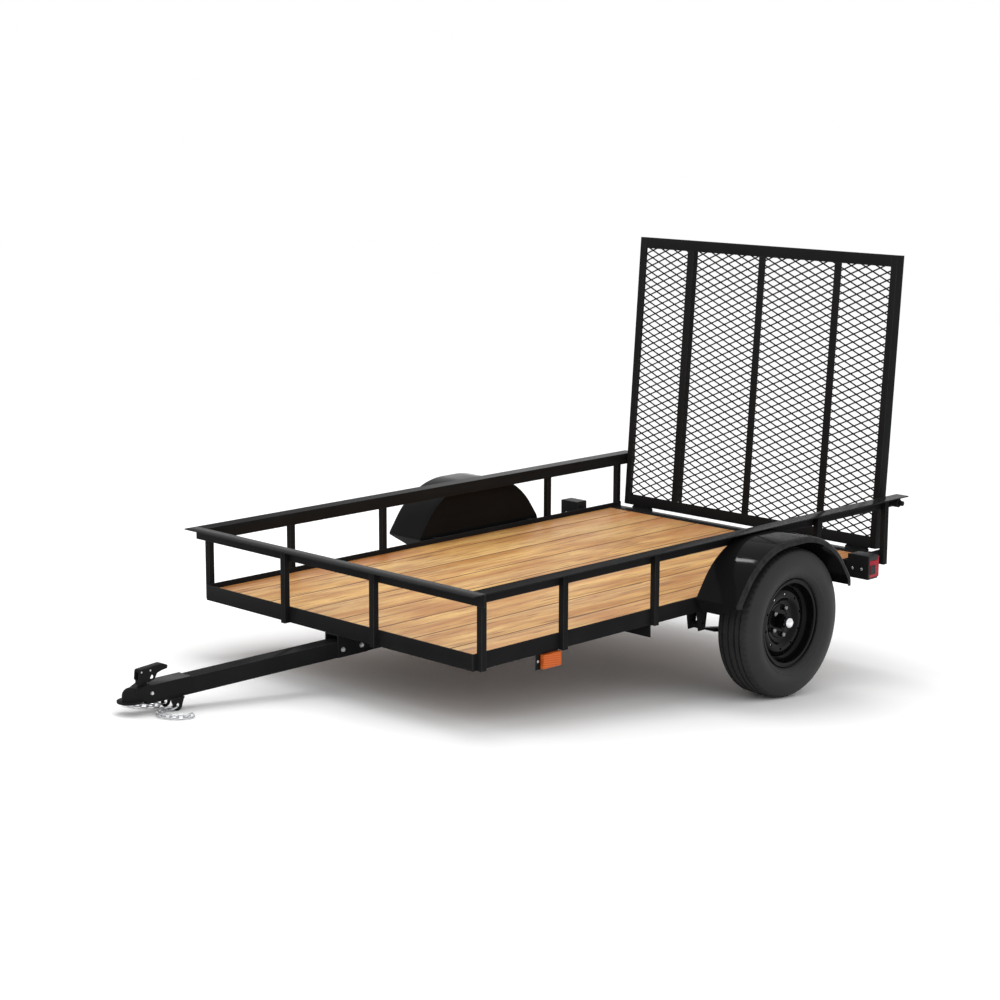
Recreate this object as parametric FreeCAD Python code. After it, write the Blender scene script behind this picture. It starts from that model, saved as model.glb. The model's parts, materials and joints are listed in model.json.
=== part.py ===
import FreeCAD, Part
import math
import os

# Single-axle utility trailer with a mesh ramp gate, in millimetres.
# It is drawn level: x = 0 is the front face of the frame with +X towards the coupler,
# y = 0 is the middle with +Y to the left, and z = 0 is the ground under the tyres.
# park() then sets it down as it rests unhitched, nose down on its safety chain ears.

V = FreeCAD.Vector

# Frame and deck
frame_length = 2510.0
frame_width = 1524.0
frame_bottom = 376.0        # height of the frame's underside when the trailer is level
angle_tall = 63.5           # the long leg of the 2 1/2 by 2 inch angle iron
angle_short = 50.8
angle_wall = 4.8
board_thick = 38.1
board_pitch = 202.5
board_gap = 1.5
board_fit = 2.0             # play between the outer boards and the frame
first_seam = 587.5          # the seam nearest the left side
joist_wide = 50.8
joist_tall = 25.4
joist_wall = 3.2
joist_front = 330.0         # from the frame's front to the first joist
joist_from_axle = (265.0, -235.0, -605.0, -815.0)    # and from the axle forward to the others
rear_sill = 76.2            # depth of the flat top of the rear member, level with the boards

# Railing
rail_rise = 230.0           # from the top of the frame to the top of the rail
post_side = 25.4
post_wall = 2.5
corner_setback = 18.0       # from the frame's front to the nearest side post
second_post = 443.0
third_post_ahead = 636.0    # of the axle
fourth_post_behind = 402.0
front_post_offset = 254.0
rail_overrun = 98.0         # how far the side rails run on past the frame, either side of the gate

# Tongue, its seat under the frame, and the coupler
tongue_side = 63.5
tongue_wall = 4.8
tongue_top = 350.0
tongue_front = 880.0
seat_wall = 4.8
seat_length = 150.0
seat_play = 0.4
tail_member_ahead = 633.0   # of the axle
coupler_ball = 25.4         # radius of the two inch ball
ball_play = 0.5
ball_station = 929.0
ball_height = 322.0
socket_depth = 22.0         # from the ball's centre down to the socket's edge
coupler_wall = 4.0
coupler_throat = 15.0       # half width of the slot behind the ball, for its clamp
coupler_run = 239.0         # from the ball's centre back to the coupler's rear end
neck_behind = 59.0          # and back to where its side walls start to draw in
neck_round = 30.0
brow_low = 14.0             # above the ball's centre
brow_run = 50.0             # from the ball's centre back to where the roof is level
lip_tall = 6.0
lip_wide = 18.0
latch_wide = 30.0
latch_thick = 5.0
latch_hole = 8.0
# Side view of the latch lever, as (ahead of the ball's centre, above the roof, corner radius)
latch_outline = ((-27, 18, 6), (-31, 56, 8), (-129, 63, 5), (-152, 54, 4), (-151, 42, 4),
                 (-129, 39, 10), (-107, 33, 12), (-95, 12, 5), (-69, 6, 5))
latch_hollow = ((-24, -4, 0), (-24, 47, 6), (-117, 54, 6), (-117, -4, 0))
latch_eye = (-84, 22)
latch_foot = (-61, -33)     # the post under the lever, from and to

# Safety chains
ear_thick = 6.0
ear_station = 752.0
ear_height = 258.0          # centre of the chain hole when level
ear_radius = 19.0
ear_hole = 8.0
ear_root = 60.0
chain_wire = 2.75           # radius of the wire
link_inside = 24.0          # clear length inside a link
link_half_width = 7.75      # from a link's middle to the centre of its wire
link_count = 12
link_play = 0.45            # gap between one link and the next
link_ear_play = 0.8
link_ground_play = 0.5
link_rolls = (-12.0, 66.0)  # how the first two links twist out of the ear
link_roll = 45.0            # and how the others lie, to one side and the other in turn
link_sides = 6
chain_turns = (0, 14, 18, 16, 22, 26, 26, 24, 20, 16, 14)    # degrees from one link to the next

# Wheels
tyre_radius = 305.0
tyre_section = 177.0
tyre_wall = 11.0
tread_width = 122.0
tread_thick = 18.0
tread_crown = 3.0           # how far the tread falls from its middle to its edges
shoulder_wide = 12.0
shoulder_drop = 14.0
widest_radius = 235.0       # where the sidewall stands out most
flank_round = 30.0
bead_length = 17.0
bead_fit = 0.3              # play between the tyre and the rim
tyre_gap = 21.1             # from the fender's inner wall to the tyre
axle_ahead = 915.0          # of the frame's rear
wheel_sides = 36            # flats round the tyre and the rim
rim_width = 114.0
rim_flange_radius = 181.0
rim_seat_radius = 165.0
rim_seat_wide = 30.0
rim_seat_taper = 4.0
rim_well_radius = 148.0
rim_well_wide = 34.0
rim_well_centre = -4.0      # the well lies inboard of the rim's middle
rim_lip = 8.0
rim_wall = 3.4
disc_offset = 8.0           # the bolt face is this far outboard of the wheel's middle
disc_thick = 6.0
disc_dish = 16.0            # how far the ring of vents stands out from the bolt face
disc_flat_radius = 79.0
disc_ring_inner = 95.0
disc_ring_outer = 127.0
disc_root = 5.0             # where the disc meets the well, inboard of the bolt face
vent_count = 10
vent_radius = 7.0
vent_circle = 112.0
stud_count = 5
stud_circle = 57.15
stud_turn = 54.0            # degrees from the top forward to the first nut, as parked
nut_radius = 11.0
nut_tall = 18.0
hub_radius = 68.0
hub_thick = 34.0
hub_barrel_radius = 29.6
hub_barrel_out = 36.0       # how far the barrel and the cap stand out from the bolt face
hub_disc_fit = 0.4
cap_radius = 24.0
cap_tall = 12.0
cap_crown = 30.0            # radius of the cap's rounded end

# Axle and springs
axle_radius = 30.0
spindle_radius = 17.3
spindle_play = 0.05
spindle_length = 60.0
hub_seal_gap = 6.0          # between the hub and the shoulder of the axle tube
spring_half = 320.0
spring_wide = 44.5
leaf_thick = 7.0
leaf_reaches = (320.0, 237.0, 147.0)
eye_height = 318.0
eye_radius = 15.0
eye_bolt_radius = 6.0
eye_play = 0.1
seat_pad = 8.0
seat_half = 35.0
clamp_radius = 5.5
clamp_play = 0.2
clamp_bends = 8
clamp_sides = 6
clamp_foot = 18.0           # thread that shows under the clamp plate
clamp_plate = 8.0
hanger_wall = 5.0
hanger_play = 1.0
hanger_top = 32.0
hanger_toe = 20.0
shackle_half = 14.0

# Fenders
fender_wide = 209.6
fender_top = 658.0
fender_ahead = 15.0         # from the axle forward to the fender's middle
fender_reach = 376.0        # half length at the knees
fender_knee = 440.0         # height of the knees
fender_bend = 12.0          # rounding of the front knee
fender_ease = 60.0          # rounding of the rear one
fender_foot = 388.0         # height of the front end, which turns back below its knee
fender_toe = 342.0          # from the fender's middle forward to that end
fender_tail = 408.0         # height of the rear end
fender_clip = 112.0         # width cut off the front end's outer corner, up to the knee
fender_slope = 55.0
fender_crown = 350.0
fender_sheet = 2.0
fender_lip = 24.0
fender_roll = 12.0
bracket_reach = 300.0       # from the axle to the middle of each fender bracket
bracket_drop = 4.0

# Lamps
lamp_ahead = 284.0          # of the frame's rear
lamp_deep = 74.0
lamp_wide = 100.0
lamp_low = 366.0
lamp_high = 468.0
lamp_plate = 3.0
lamp_offset = 26.0          # from the frame's side to the lamp
lens_low = 374.0
lens_high = 446.0
lens_thick = 6.0
lens_edge = 7.0             # rim of the housing round the lens
marker_front = -350.0
marker_rear = -447.0
marker_low = 316.0
marker_deep = 20.0
marker_plate = 3.0
marker_tab = 22.0           # how far the bracket shows ahead of the lens
marker_corner = 4.0

# Ramp gate
gate_width = 1460.0
gate_middle = -13.0         # the gate hangs this far off the trailer's middle
gate_height = 1281.0
gate_gap = 7.0              # from the frame's rear face to the gate
gate_lean = 4.2             # degrees back from upright on the level trailer
gate_foot = 429.0
gate_wall = 3.2
gate_rail = 50.8
gate_bar = 31.75
rib_bar = 38.1
rib_centres = (-432.0, -12.0, 408.0)
rib_edges = (1, -1, -1)     # the side on which each rib turns back
mesh_long = 76.2
mesh_short = 34.9
strand_wide = 3.6
strand_thick = 2.0
strand_gap = 0.3
mesh_tuck = 12.0            # how far the strands run in behind the gate's bars
hinge_inset = 105.0         # from the gate's side to the middle of a hinge
hinge_length = 108.0
hinge_radius = 11.0
hinge_back = 20.0           # from the frame's rear face to the pin
hinge_drop = 12.0           # from the gate's foot down to the pin
pin_radius = 6.35
pin_play = 0.3
pin_end = 6.0               # how far the pin stands out at each end
knuckle_gap = 1.0
plunger_back = 50.0         # behind the frame
plunger_radius = 6.35
plunger_play = 0.3
plunger_gap = 6.0           # from the drawn plunger's tip to the gate's edge
plunger_draw = 20.0         # how far the drawn plunger stands out of its barrel
barrel_length = 44.0
barrel_radius = 19.0
knob_length = 18.0
knob_radius = 11.0

# Sizes that follow from those above
half = frame_width / 2
frame_top = frame_bottom + angle_tall
rail_top = frame_top + rail_rise
deck_low = frame_bottom + angle_wall
deck_top = deck_low + board_thick
tongue_low = tongue_top - tongue_side
axle_station = axle_ahead - frame_length
tail_member_station = axle_station + tail_member_ahead
side_post_stations = (-corner_setback, -second_post, axle_station + third_post_ahead,
                      axle_station - fourth_post_behind, post_side - frame_length)
joist_stations = (-joist_front,) + tuple(axle_station + ahead for ahead in joist_from_axle)
fender_inner_y = half + post_side
fender_outer_y = fender_inner_y + fender_wide
wheel_centre_y = fender_inner_y + tyre_gap + tyre_section / 2
spring_y = half - angle_short / 2
gate_left = gate_middle + gate_width / 2
gate_right = gate_middle - gate_width / 2
gate_face = -frame_length - gate_gap
pin_x = -frame_length - hinge_back
pin_z = gate_foot - hinge_drop
plunger_x = -frame_length - plunger_back
plunger_z = rail_top - (angle_short + angle_wall) / 2
coupler_rear = ball_station - coupler_run
coupler_neck = ball_station - neck_behind
link_reach = link_inside / 2 + chain_wire   # from a link's middle to the wire at its end

parts = {}


# Shapes

def box(x0, x1, y0, y1, z0, z1):
    """A block between two corners, given in any order."""
    low = V(min(x0, x1), min(y0, y1), min(z0, z1))
    high = V(max(x0, x1), max(y0, y1), max(z0, z1))
    size = high - low
    return Part.makeBox(size.x, size.y, size.z, low)


def prism(points, axis, start, end):
    """A flat outline pushed along one axis. Points are (y, z), (x, z) or (x, y)."""
    place = {
        "x": lambda p: V(start, p[0], p[1]),
        "y": lambda p: V(p[0], start, p[1]),
        "z": lambda p: V(p[0], p[1], start),
    }[axis]
    push = {"x": V(end - start, 0, 0), "y": V(0, end - start, 0), "z": V(0, 0, end - start)}[axis]
    corners = [place(p) for p in points]
    return Part.Face(Part.makePolygon(corners + corners[:1])).extrude(push)


def rounded(points, radii, axis, start, end):
    """As prism, with each corner rounded by its own radius."""
    place = {
        "x": lambda p: V(start, p.x, p.y),
        "y": lambda p: V(p.x, start, p.y),
        "z": lambda p: V(p.x, p.y, start),
    }[axis]
    push = {"x": V(end - start, 0, 0), "y": V(0, end - start, 0), "z": V(0, 0, end - start)}[axis]
    flat = [V(a, b, 0) for a, b in points]
    count = len(flat)
    stops = []
    for i, corner in enumerate(flat):
        before = (flat[i - 1] - corner).normalize()
        after = (flat[(i + 1) % count] - corner).normalize()
        inner = before.getAngle(after)
        back = radii[i] / math.tan(inner / 2)
        middle = (before + after).normalize() * (radii[i] / math.sin(inner / 2) - radii[i])
        stops.append((corner + before * back, corner + middle, corner + after * back, radii[i]))
    edges = []
    for i, (arrive, top, leave, radius) in enumerate(stops):
        if radius > 0:
            edges.append(Part.Arc(place(arrive), place(top), place(leave)).toShape())
        nxt = stops[(i + 1) % count][0]
        if (nxt - leave).Length > 1e-6:
            edges.append(Part.LineSegment(place(leave), place(nxt)).toShape())
    return Part.Face(Part.Wire(edges)).extrude(push)


def rod(x, y, z, axis, length, radius, bore=0.0):
    """A round bar or tube that starts at a point and runs along an axis."""
    way = {"x": V(1, 0, 0), "y": V(0, 1, 0), "z": V(0, 0, 1)}[axis]
    bar = Part.makeCylinder(radius, abs(length), V(x, y, z), way if length > 0 else way * -1)
    if bore:
        bar = bar.cut(Part.makeCylinder(bore, abs(length), V(x, y, z), way if length > 0 else way * -1))
    return bar


def spin(profile, sides, centre_x, centre_z):
    """Turn a closed (y, radius) outline about a line along Y, in flat facets."""
    def at(point, step):
        turn = 2 * math.pi * step / sides
        return V(centre_x + point[1] * math.sin(turn), point[0], centre_z + point[1] * math.cos(turn))
    faces = []
    for step in range(sides):
        for i, here in enumerate(profile):
            there = profile[(i + 1) % len(profile)]
            ring = [at(here, step), at(there, step), at(there, step + 1), at(here, step + 1)]
            faces.append(Part.Face(Part.makePolygon(ring + ring[:1])))
    solid = Part.Solid(Part.Shell(faces))
    if solid.Volume < 0:
        solid.reverse()
    return solid


def bent_bar(path, normal, radius, sides, closed):
    """A few-sided bar along a flat path of points, mitred at each, open-ended or a closed loop."""
    count = len(path)
    rings = []
    for i, here in enumerate(path):
        into = here - path[i - 1] if closed or i else path[1] - here
        out = path[(i + 1) % count] - here if closed or i < count - 1 else into
        into, out = into.normalize(), out.normalize()
        outward = (into + out).cross(normal).normalize()
        stretch = 1 / outward.dot(into.cross(normal).normalize())
        turns = [2 * math.pi * (k + 0.5) / sides for k in range(sides)]
        rings.append([here + outward * (math.cos(a) * radius * stretch) + normal * (math.sin(a) * radius)
                      for a in turns])
    pairs = list(zip(rings, rings[1:] + rings[:1])) if closed else list(zip(rings, rings[1:]))
    outlines = [[here[k], here[(k + 1) % sides], there[(k + 1) % sides], there[k]]
                for here, there in pairs for k in range(sides)]
    if not closed:
        outlines += [rings[0], rings[-1]]
    solid = Part.Solid(Part.Shell([Part.Face(Part.makePolygon(ring + ring[:1])) for ring in outlines]))
    if solid.Volume < 0:
        solid.reverse()
    return solid


def angle_iron(axis, start, end, corner, tall, short, wall):
    """An L section along X or Y. tall and short are signed legs from the outer corner."""
    a, b = corner
    turn_a = wall if short > 0 else -wall
    turn_b = wall if tall > 0 else -wall
    outline = [(a, b), (a + short, b), (a + short, b + turn_b), (a + turn_a, b + turn_b),
               (a + turn_a, b + tall), (a, b + tall)]
    return prism(outline, axis, start, end)


def square_tube(x0, x1, y0, y1, z0, z1, wall, axis):
    """A rectangular tube, open at both ends of one axis."""
    grow = {"x": (0, wall, wall), "y": (wall, 0, wall), "z": (wall, wall, 0)}[axis]
    outer = box(x0, x1, y0, y1, z0, z1)
    bound = outer.BoundBox
    inner = box(bound.XMin + grow[0], bound.XMax - grow[0], bound.YMin + grow[1],
                bound.YMax - grow[1], bound.ZMin + grow[2], bound.ZMax - grow[2])
    return outer.cut(inner)


def mirrored(shape):
    """The same shape on the other side of the trailer."""
    return shape.mirror(V(0, 0, 0), V(0, 1, 0))


def both(shape):
    """A shape and its mirror image, as separate solids of one piece."""
    return Part.makeCompound([shape, mirrored(shape)])


def fused(shapes):
    """Join shapes into one."""
    whole = shapes[0]
    for shape in shapes[1:]:
        whole = whole.fuse(shape)
    return whole.removeSplitter()


# Frame

def frame_members():
    """Angle iron all round. The rear member's flat leg is on top, so that a load rolls over it."""
    side = angle_iron("x", 0, -frame_length, (half, frame_bottom), angle_tall, -angle_short, angle_wall)
    parts["frame_side_left"] = side
    parts["frame_side_right"] = mirrored(side)
    inner, ledge_end = half - angle_wall, half - angle_short
    parts["frame_front"] = fused([
        box(0, -angle_wall, -inner, inner, deck_low, frame_top),
        box(0, -angle_wall, -ledge_end, ledge_end, frame_bottom, frame_top),
        box(0, -angle_short, -ledge_end, ledge_end, frame_bottom, deck_low)])
    rear = -frame_length
    parts["frame_rear"] = fused([
        box(rear, rear + angle_wall, -inner, inner, deck_low, deck_top),
        box(rear, rear + angle_wall, -ledge_end, ledge_end, frame_bottom, deck_top),
        box(rear, rear + rear_sill, -inner, inner, deck_top - angle_wall, deck_top)])


def joists():
    """Cross tubes between the side members, level with the ledge the boards lie on."""
    reach = half - angle_short
    bars = [square_tube(x, x - joist_wide, -reach, reach, deck_low - joist_tall, deck_low, joist_wall, "y")
            for x in joist_stations]
    parts["joists"] = Part.makeCompound(bars)


def deck_boards():
    edge = half - angle_wall - board_fit
    seams = [first_seam - i * board_pitch for i in range(20)]
    cuts = [edge] + [s for s in seams if -edge + board_gap < s < edge - board_gap] + [-edge]
    front, rear = -angle_wall - board_fit, -frame_length + rear_sill + board_fit
    boards = []
    for i in range(len(cuts) - 1):
        left = cuts[i] - (board_gap / 2 if i else 0)
        right = cuts[i + 1] + (board_gap / 2 if i < len(cuts) - 2 else 0)
        boards.append(box(front, rear, right, left, deck_low, deck_top))
    parts["deck_boards"] = Part.makeCompound(boards)


# Railing

def railing():
    tip = half - angle_wall + angle_tall
    leg_low = rail_top - angle_short
    front = prism([(0, leg_low), (0, rail_top - angle_wall),
                   (angle_tall - angle_wall, rail_top - angle_wall), (angle_tall - angle_wall, rail_top),
                   (-angle_wall, rail_top), (-angle_wall, leg_low)], "y", -tip, tip)
    side = prism([(half, leg_low), (half, rail_top - angle_wall), (tip, rail_top - angle_wall),
                  (tip, rail_top), (half - angle_wall, rail_top), (half - angle_wall, leg_low)],
                 "x", -angle_wall, -frame_length - rail_overrun)
    side = side.cut(rod(plunger_x, half - 2 * angle_wall, plunger_z, "y", 3 * angle_wall,
                        plunger_radius + plunger_play))
    parts["rail_front"] = front
    parts["rail_left"] = side
    parts["rail_right"] = mirrored(side)


def posts():
    top = rail_top - angle_wall
    left = [square_tube(x, x - post_side, half, half + post_side, frame_bottom, top, post_wall, "z")
            for x in side_post_stations]
    parts["posts_left"] = Part.makeCompound(left)
    parts["posts_right"] = mirrored(parts["posts_left"])
    front = [square_tube(0, post_side, y - post_side / 2, y + post_side / 2, frame_bottom, top, post_wall,
                         "z") for y in (-front_post_offset, front_post_offset)]
    parts["posts_front"] = Part.makeCompound(front)


# Tongue and coupler

def tongue():
    side = tongue_side / 2
    parts["tongue"] = square_tube(tongue_front, tail_member_station + seat_play, -side, side,
                                  tongue_low, tongue_top, tongue_wall, "x")
    inner = side + seat_play
    outer = inner + seat_wall
    channel = prism([(-outer, tongue_low), (-inner, tongue_low), (-inner, frame_bottom - seat_wall),
                     (inner, frame_bottom - seat_wall), (inner, tongue_low), (outer, tongue_low),
                     (outer, frame_bottom), (-outer, frame_bottom)], "x", 0, -seat_length)
    parts["tongue_seat"] = channel
    member = angle_iron("y", -half, half, (tail_member_station, frame_bottom), -angle_short,
                        -angle_short, angle_wall)
    reach = frame_bottom - tongue_low
    plate = box(tail_member_station, tail_member_station - angle_wall, -side - 15, side + 15,
                tongue_low, frame_bottom - reach / 2)
    parts["tail_member"] = fused([member, plate])


def coupler():
    """A stamped ball coupler: a round socket with a rolled lip, and a channel back over the tongue."""
    socket = coupler_ball + ball_play
    shell = socket + coupler_wall
    edge = ball_height - socket_depth
    inner = tongue_side / 2 + seat_play
    outer = inner + coupler_wall
    roof = tongue_top + coupler_wall
    dome = Part.makeSphere(shell, V(ball_station, 0, ball_height))
    dome = dome.common(rod(ball_station, 0, ball_height, "z", shell, shell))
    skirt = rod(ball_station, 0, edge, "z", socket_depth, shell)
    lip = rod(ball_station, 0, edge, "z", lip_tall, shell + lip_wide)
    plan = rounded([(ball_station, -shell), (ball_station, shell), (coupler_neck, outer),
                    (coupler_rear, outer), (coupler_rear, -outer), (coupler_neck, -outer)],
                   [0, 0, neck_round, 0, 0, neck_round], "z", edge, roof)
    side = prism([(coupler_rear, edge), (ball_station, edge), (ball_station, ball_height + brow_low),
                  (ball_station - brow_run, roof), (coupler_rear, roof)], "y", -outer, outer)
    body = fused([dome, skirt, lip, plan.common(side)])
    body = body.cut(box(coupler_rear, tongue_front + seat_play, -inner, inner, edge, tongue_top + seat_play))
    body = body.cut(box(tongue_front, ball_station, -coupler_throat, coupler_throat, edge,
                        ball_height + brow_low - coupler_wall))
    body = body.cut(rod(ball_station, 0, edge, "z", socket_depth, socket))
    parts["coupler"] = body.cut(Part.makeSphere(socket, V(ball_station, 0, ball_height)))


def coupler_latch():
    """The lever that clamps the ball, a folded channel open below, on its post."""
    roof = tongue_top + coupler_wall
    def side_view(outline, width):
        points = [(ball_station + x, roof + z) for x, z, _ in outline]
        return rounded(points, [r for _, _, r in outline], "y", -width / 2, width / 2)
    lever = side_view(latch_outline, latch_wide).cut(side_view(latch_hollow, latch_wide - 2 * latch_thick))
    eye_x, eye_z = latch_eye
    lever = lever.cut(rod(ball_station + eye_x, -latch_wide, roof + eye_z, "y", 2 * latch_wide, latch_hole))
    rear, front = latch_foot
    foot = box(ball_station + rear, ball_station + front, -latch_wide / 2, latch_wide / 2, roof,
               roof + latch_outline[0][1])
    parts["coupler_latch"] = fused([lever, foot])


# Safety chain ears

def chain_ears():
    """A strap under the tongue whose two ends turn down into ears, one for each chain."""
    inner = tongue_side / 2
    root = ear_root / 2
    ears = []
    for side in (-1, 1):
        face = side * inner
        plate = prism([(ear_station - root, tongue_low), (ear_station + root, tongue_low),
                       (ear_station + ear_radius, ear_height), (ear_station - ear_radius, ear_height)],
                      "y", face, face + side * ear_thick)
        nose = rod(ear_station, face, ear_height, "y", side * ear_thick, ear_radius)
        hole = rod(ear_station, face - side, ear_height, "y", side * (ear_thick + 2), ear_hole)
        ears.append(plate.fuse(nose).cut(hole))
    strap = box(ear_station - root, ear_station + root, -inner - ear_thick, inner + ear_thick,
                tongue_low - ear_thick, tongue_low)
    parts["chain_ears"] = fused([strap] + ears)


# Wheels, axle and springs

def sidewall(turn, inset):
    """A point of the tyre's flank, as (y, radius), from the widest place at 0 degrees."""
    height = tyre_radius - shoulder_drop - widest_radius
    if turn < 0:
        height = widest_radius - rim_flange_radius
    a = math.radians(turn)
    middle = tyre_section / 2 - flank_round
    return middle + (flank_round - inset) * math.cos(a), widest_radius + height * math.sin(a)


def tyre():
    tread = tread_width / 2
    flank = rim_width / 2 - bead_fit
    seat = rim_seat_radius + bead_fit
    toe = flank - bead_length
    toe_fall = rim_seat_taper * bead_length / rim_seat_wide
    outside = [(0.0, tyre_radius), (tread, tyre_radius - tread_crown),
               (tread + shoulder_wide, tyre_radius - shoulder_drop), sidewall(30, 0), sidewall(0, 0),
               sidewall(-40, 0), (flank, rim_flange_radius + bead_fit), (flank, seat),
               (toe, seat - toe_fall)]
    inside = [(toe, seat + tyre_wall), sidewall(0, tyre_wall),
              (tread, tyre_radius - tread_crown - tread_thick), (0.0, tyre_radius - tread_thick)]
    outline = outside + inside
    other_half = [(-y, r) for y, r in reversed(outline) if y > 0]
    return spin([(wheel_centre_y + y, r) for y, r in outline + other_half], wheel_sides,
                axle_station, tyre_radius)


def rim():
    """A pressed steel wheel: flanges, a dropped well, and a dished disc with vents and a hub hole."""
    flange = rim_width / 2
    tip = flange + rim_lip
    low_seat = rim_seat_radius - rim_seat_taper
    well_in, well_out = rim_well_centre - rim_well_wide / 2, rim_well_centre + rim_well_wide / 2
    under_flange = rim_flange_radius - rim_wall
    outer = [(-tip, rim_flange_radius), (-flange, rim_flange_radius), (-flange, rim_seat_radius),
             (-flange + rim_seat_wide, low_seat), (well_in, rim_well_radius), (well_out, rim_well_radius),
             (flange - rim_seat_wide, low_seat), (flange, rim_seat_radius), (flange, rim_flange_radius),
             (tip, rim_flange_radius)]
    under = [(tip, under_flange), (flange + rim_wall, under_flange),
             (flange + rim_wall, rim_seat_radius - rim_wall), (well_out, rim_well_radius - rim_wall),
             (well_in, rim_well_radius - rim_wall), (-flange - rim_wall, rim_seat_radius - rim_wall),
             (-flange - rim_wall, under_flange), (-tip, under_flange)]
    barrel = spin([(wheel_centre_y + y, r) for y, r in outer + under], wheel_sides,
                  axle_station, tyre_radius)
    face = wheel_centre_y + disc_offset
    back = face - disc_thick
    root = rim_well_radius - rim_wall
    hole = hub_barrel_radius + hub_disc_fit
    bend = disc_thick / 3
    disc = [(face, hole), (face, disc_flat_radius), (face + disc_dish, disc_ring_inner),
            (face + disc_dish, disc_ring_outer), (face - disc_root + disc_thick, root),
            (face - disc_root, root), (back + disc_dish, disc_ring_outer - bend),
            (back + disc_dish, disc_ring_inner + bend),
            (back, disc_flat_radius + bend), (back, hole)]
    whole = barrel.fuse(spin(disc, wheel_sides, axle_station, tyre_radius))
    for i in range(vent_count):
        turn = 2 * math.pi * i / vent_count
        x = axle_station + vent_circle * math.sin(turn)
        z = tyre_radius + vent_circle * math.cos(turn)
        whole = whole.cut(polygon_bar(x, z, vent_radius, 8, face, face + disc_dish + disc_thick))
    return whole


def polygon_bar(x, z, radius, sides, start, end):
    """A many-sided bar along Y about one centre."""
    turns = [2 * math.pi * (k + 0.5) / sides for k in range(sides)]
    return prism([(x + radius * math.cos(a), z + radius * math.sin(a)) for a in turns], "y", start, end)


def hub():
    """The hub behind the disc, with the grease cap in front."""
    face = wheel_centre_y + disc_offset
    back = face - disc_thick
    body = rod(axle_station, back, tyre_radius, "y", -hub_thick, hub_radius)
    front = face + hub_barrel_out
    rear = back - hub_thick
    barrel = rod(axle_station, rear, tyre_radius, "y", front - rear, hub_barrel_radius)
    bore = rod(axle_station, rear, tyre_radius, "y", spindle_length, spindle_radius + spindle_play)
    cap = rod(axle_station, front, tyre_radius, "y", cap_tall, cap_radius)
    dome_centre = front + cap_tall - math.sqrt(cap_crown ** 2 - cap_radius ** 2)
    dome = Part.makeSphere(cap_crown, V(axle_station, dome_centre, tyre_radius))
    dome = dome.common(rod(axle_station, front + cap_tall, tyre_radius, "y", cap_crown, cap_radius))
    return body.fuse(barrel).cut(bore).fuse(cap).fuse(dome)


def wheel_nuts():
    face = wheel_centre_y + disc_offset
    nuts = []
    for i in range(stud_count):
        turn = math.radians(stud_turn) + 2 * math.pi * i / stud_count
        x = axle_station + stud_circle * math.sin(turn)
        z = tyre_radius + stud_circle * math.cos(turn)
        nuts.append(polygon_bar(x, z, nut_radius, 6, face, face + nut_tall))
    return Part.makeCompound(nuts)


def wheels():
    for name, shape in (("tyre", tyre()), ("rim", rim()), ("hub", hub()), ("wheel_nuts", wheel_nuts())):
        parts[name + "_left"] = shape
        parts[name + "_right"] = mirrored(shape)


def axle():
    """A round tube with a spindle in each end and a welded pad over each spring."""
    shoulder = wheel_centre_y + disc_offset - disc_thick - hub_thick - hub_seal_gap
    tube = rod(axle_station, -shoulder, tyre_radius, "y", 2 * shoulder, axle_radius)
    reach = spindle_length + hub_seal_gap - 2 * spindle_play - 1
    spindles = [rod(axle_station, side * shoulder, tyre_radius, "y", side * reach, spindle_radius)
                for side in (-1, 1)]
    low = tyre_radius - axle_radius - seat_pad
    pads = []
    for side in (-1, 1):
        pads.append(box(axle_station - seat_half, axle_station + seat_half,
                        side * spring_y - spring_wide / 2, side * spring_y + spring_wide / 2,
                        low, low + seat_pad + axle_radius / 2))
    parts["axle"] = fused([tube] + spindles + pads).cut(parts["springs"])


def leaf_pack(top):
    """Stacked leaves in one outline, each shorter than the one above, lowest in the middle."""
    rise = eye_height - eye_radius + leaf_thick - top
    bend = (spring_half ** 2 + rise ** 2) / (2 * rise)
    start = spring_y - spring_wide / 2
    def at(layer, reach):
        radius = bend + layer * leaf_thick
        return V(axle_station + reach, start, top + bend - math.sqrt(radius ** 2 - reach ** 2))
    edges = [Part.Arc(at(0, -spring_half), at(0, 0), at(0, spring_half)).toShape()]
    ends = list(leaf_reaches) + [-reach for reach in reversed(leaf_reaches)]
    count = len(leaf_reaches)
    for i, reach in enumerate(ends):
        layer = i if i < count else 2 * count - 1 - i
        above, below = at(layer, reach), at(layer + 1, reach)
        down = i < count
        edges.append(Part.LineSegment(above if down else below, below if down else above).toShape())
        if i == 2 * count - 1:
            continue
        nxt = ends[i + 1]
        level = layer + 1 if down else layer
        edges.append(Part.Arc(at(level, reach), at(level, (reach + nxt) / 2), at(level, nxt)).toShape())
    return Part.Face(Part.Wire(edges)).extrude(V(0, spring_wide, 0))


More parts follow.
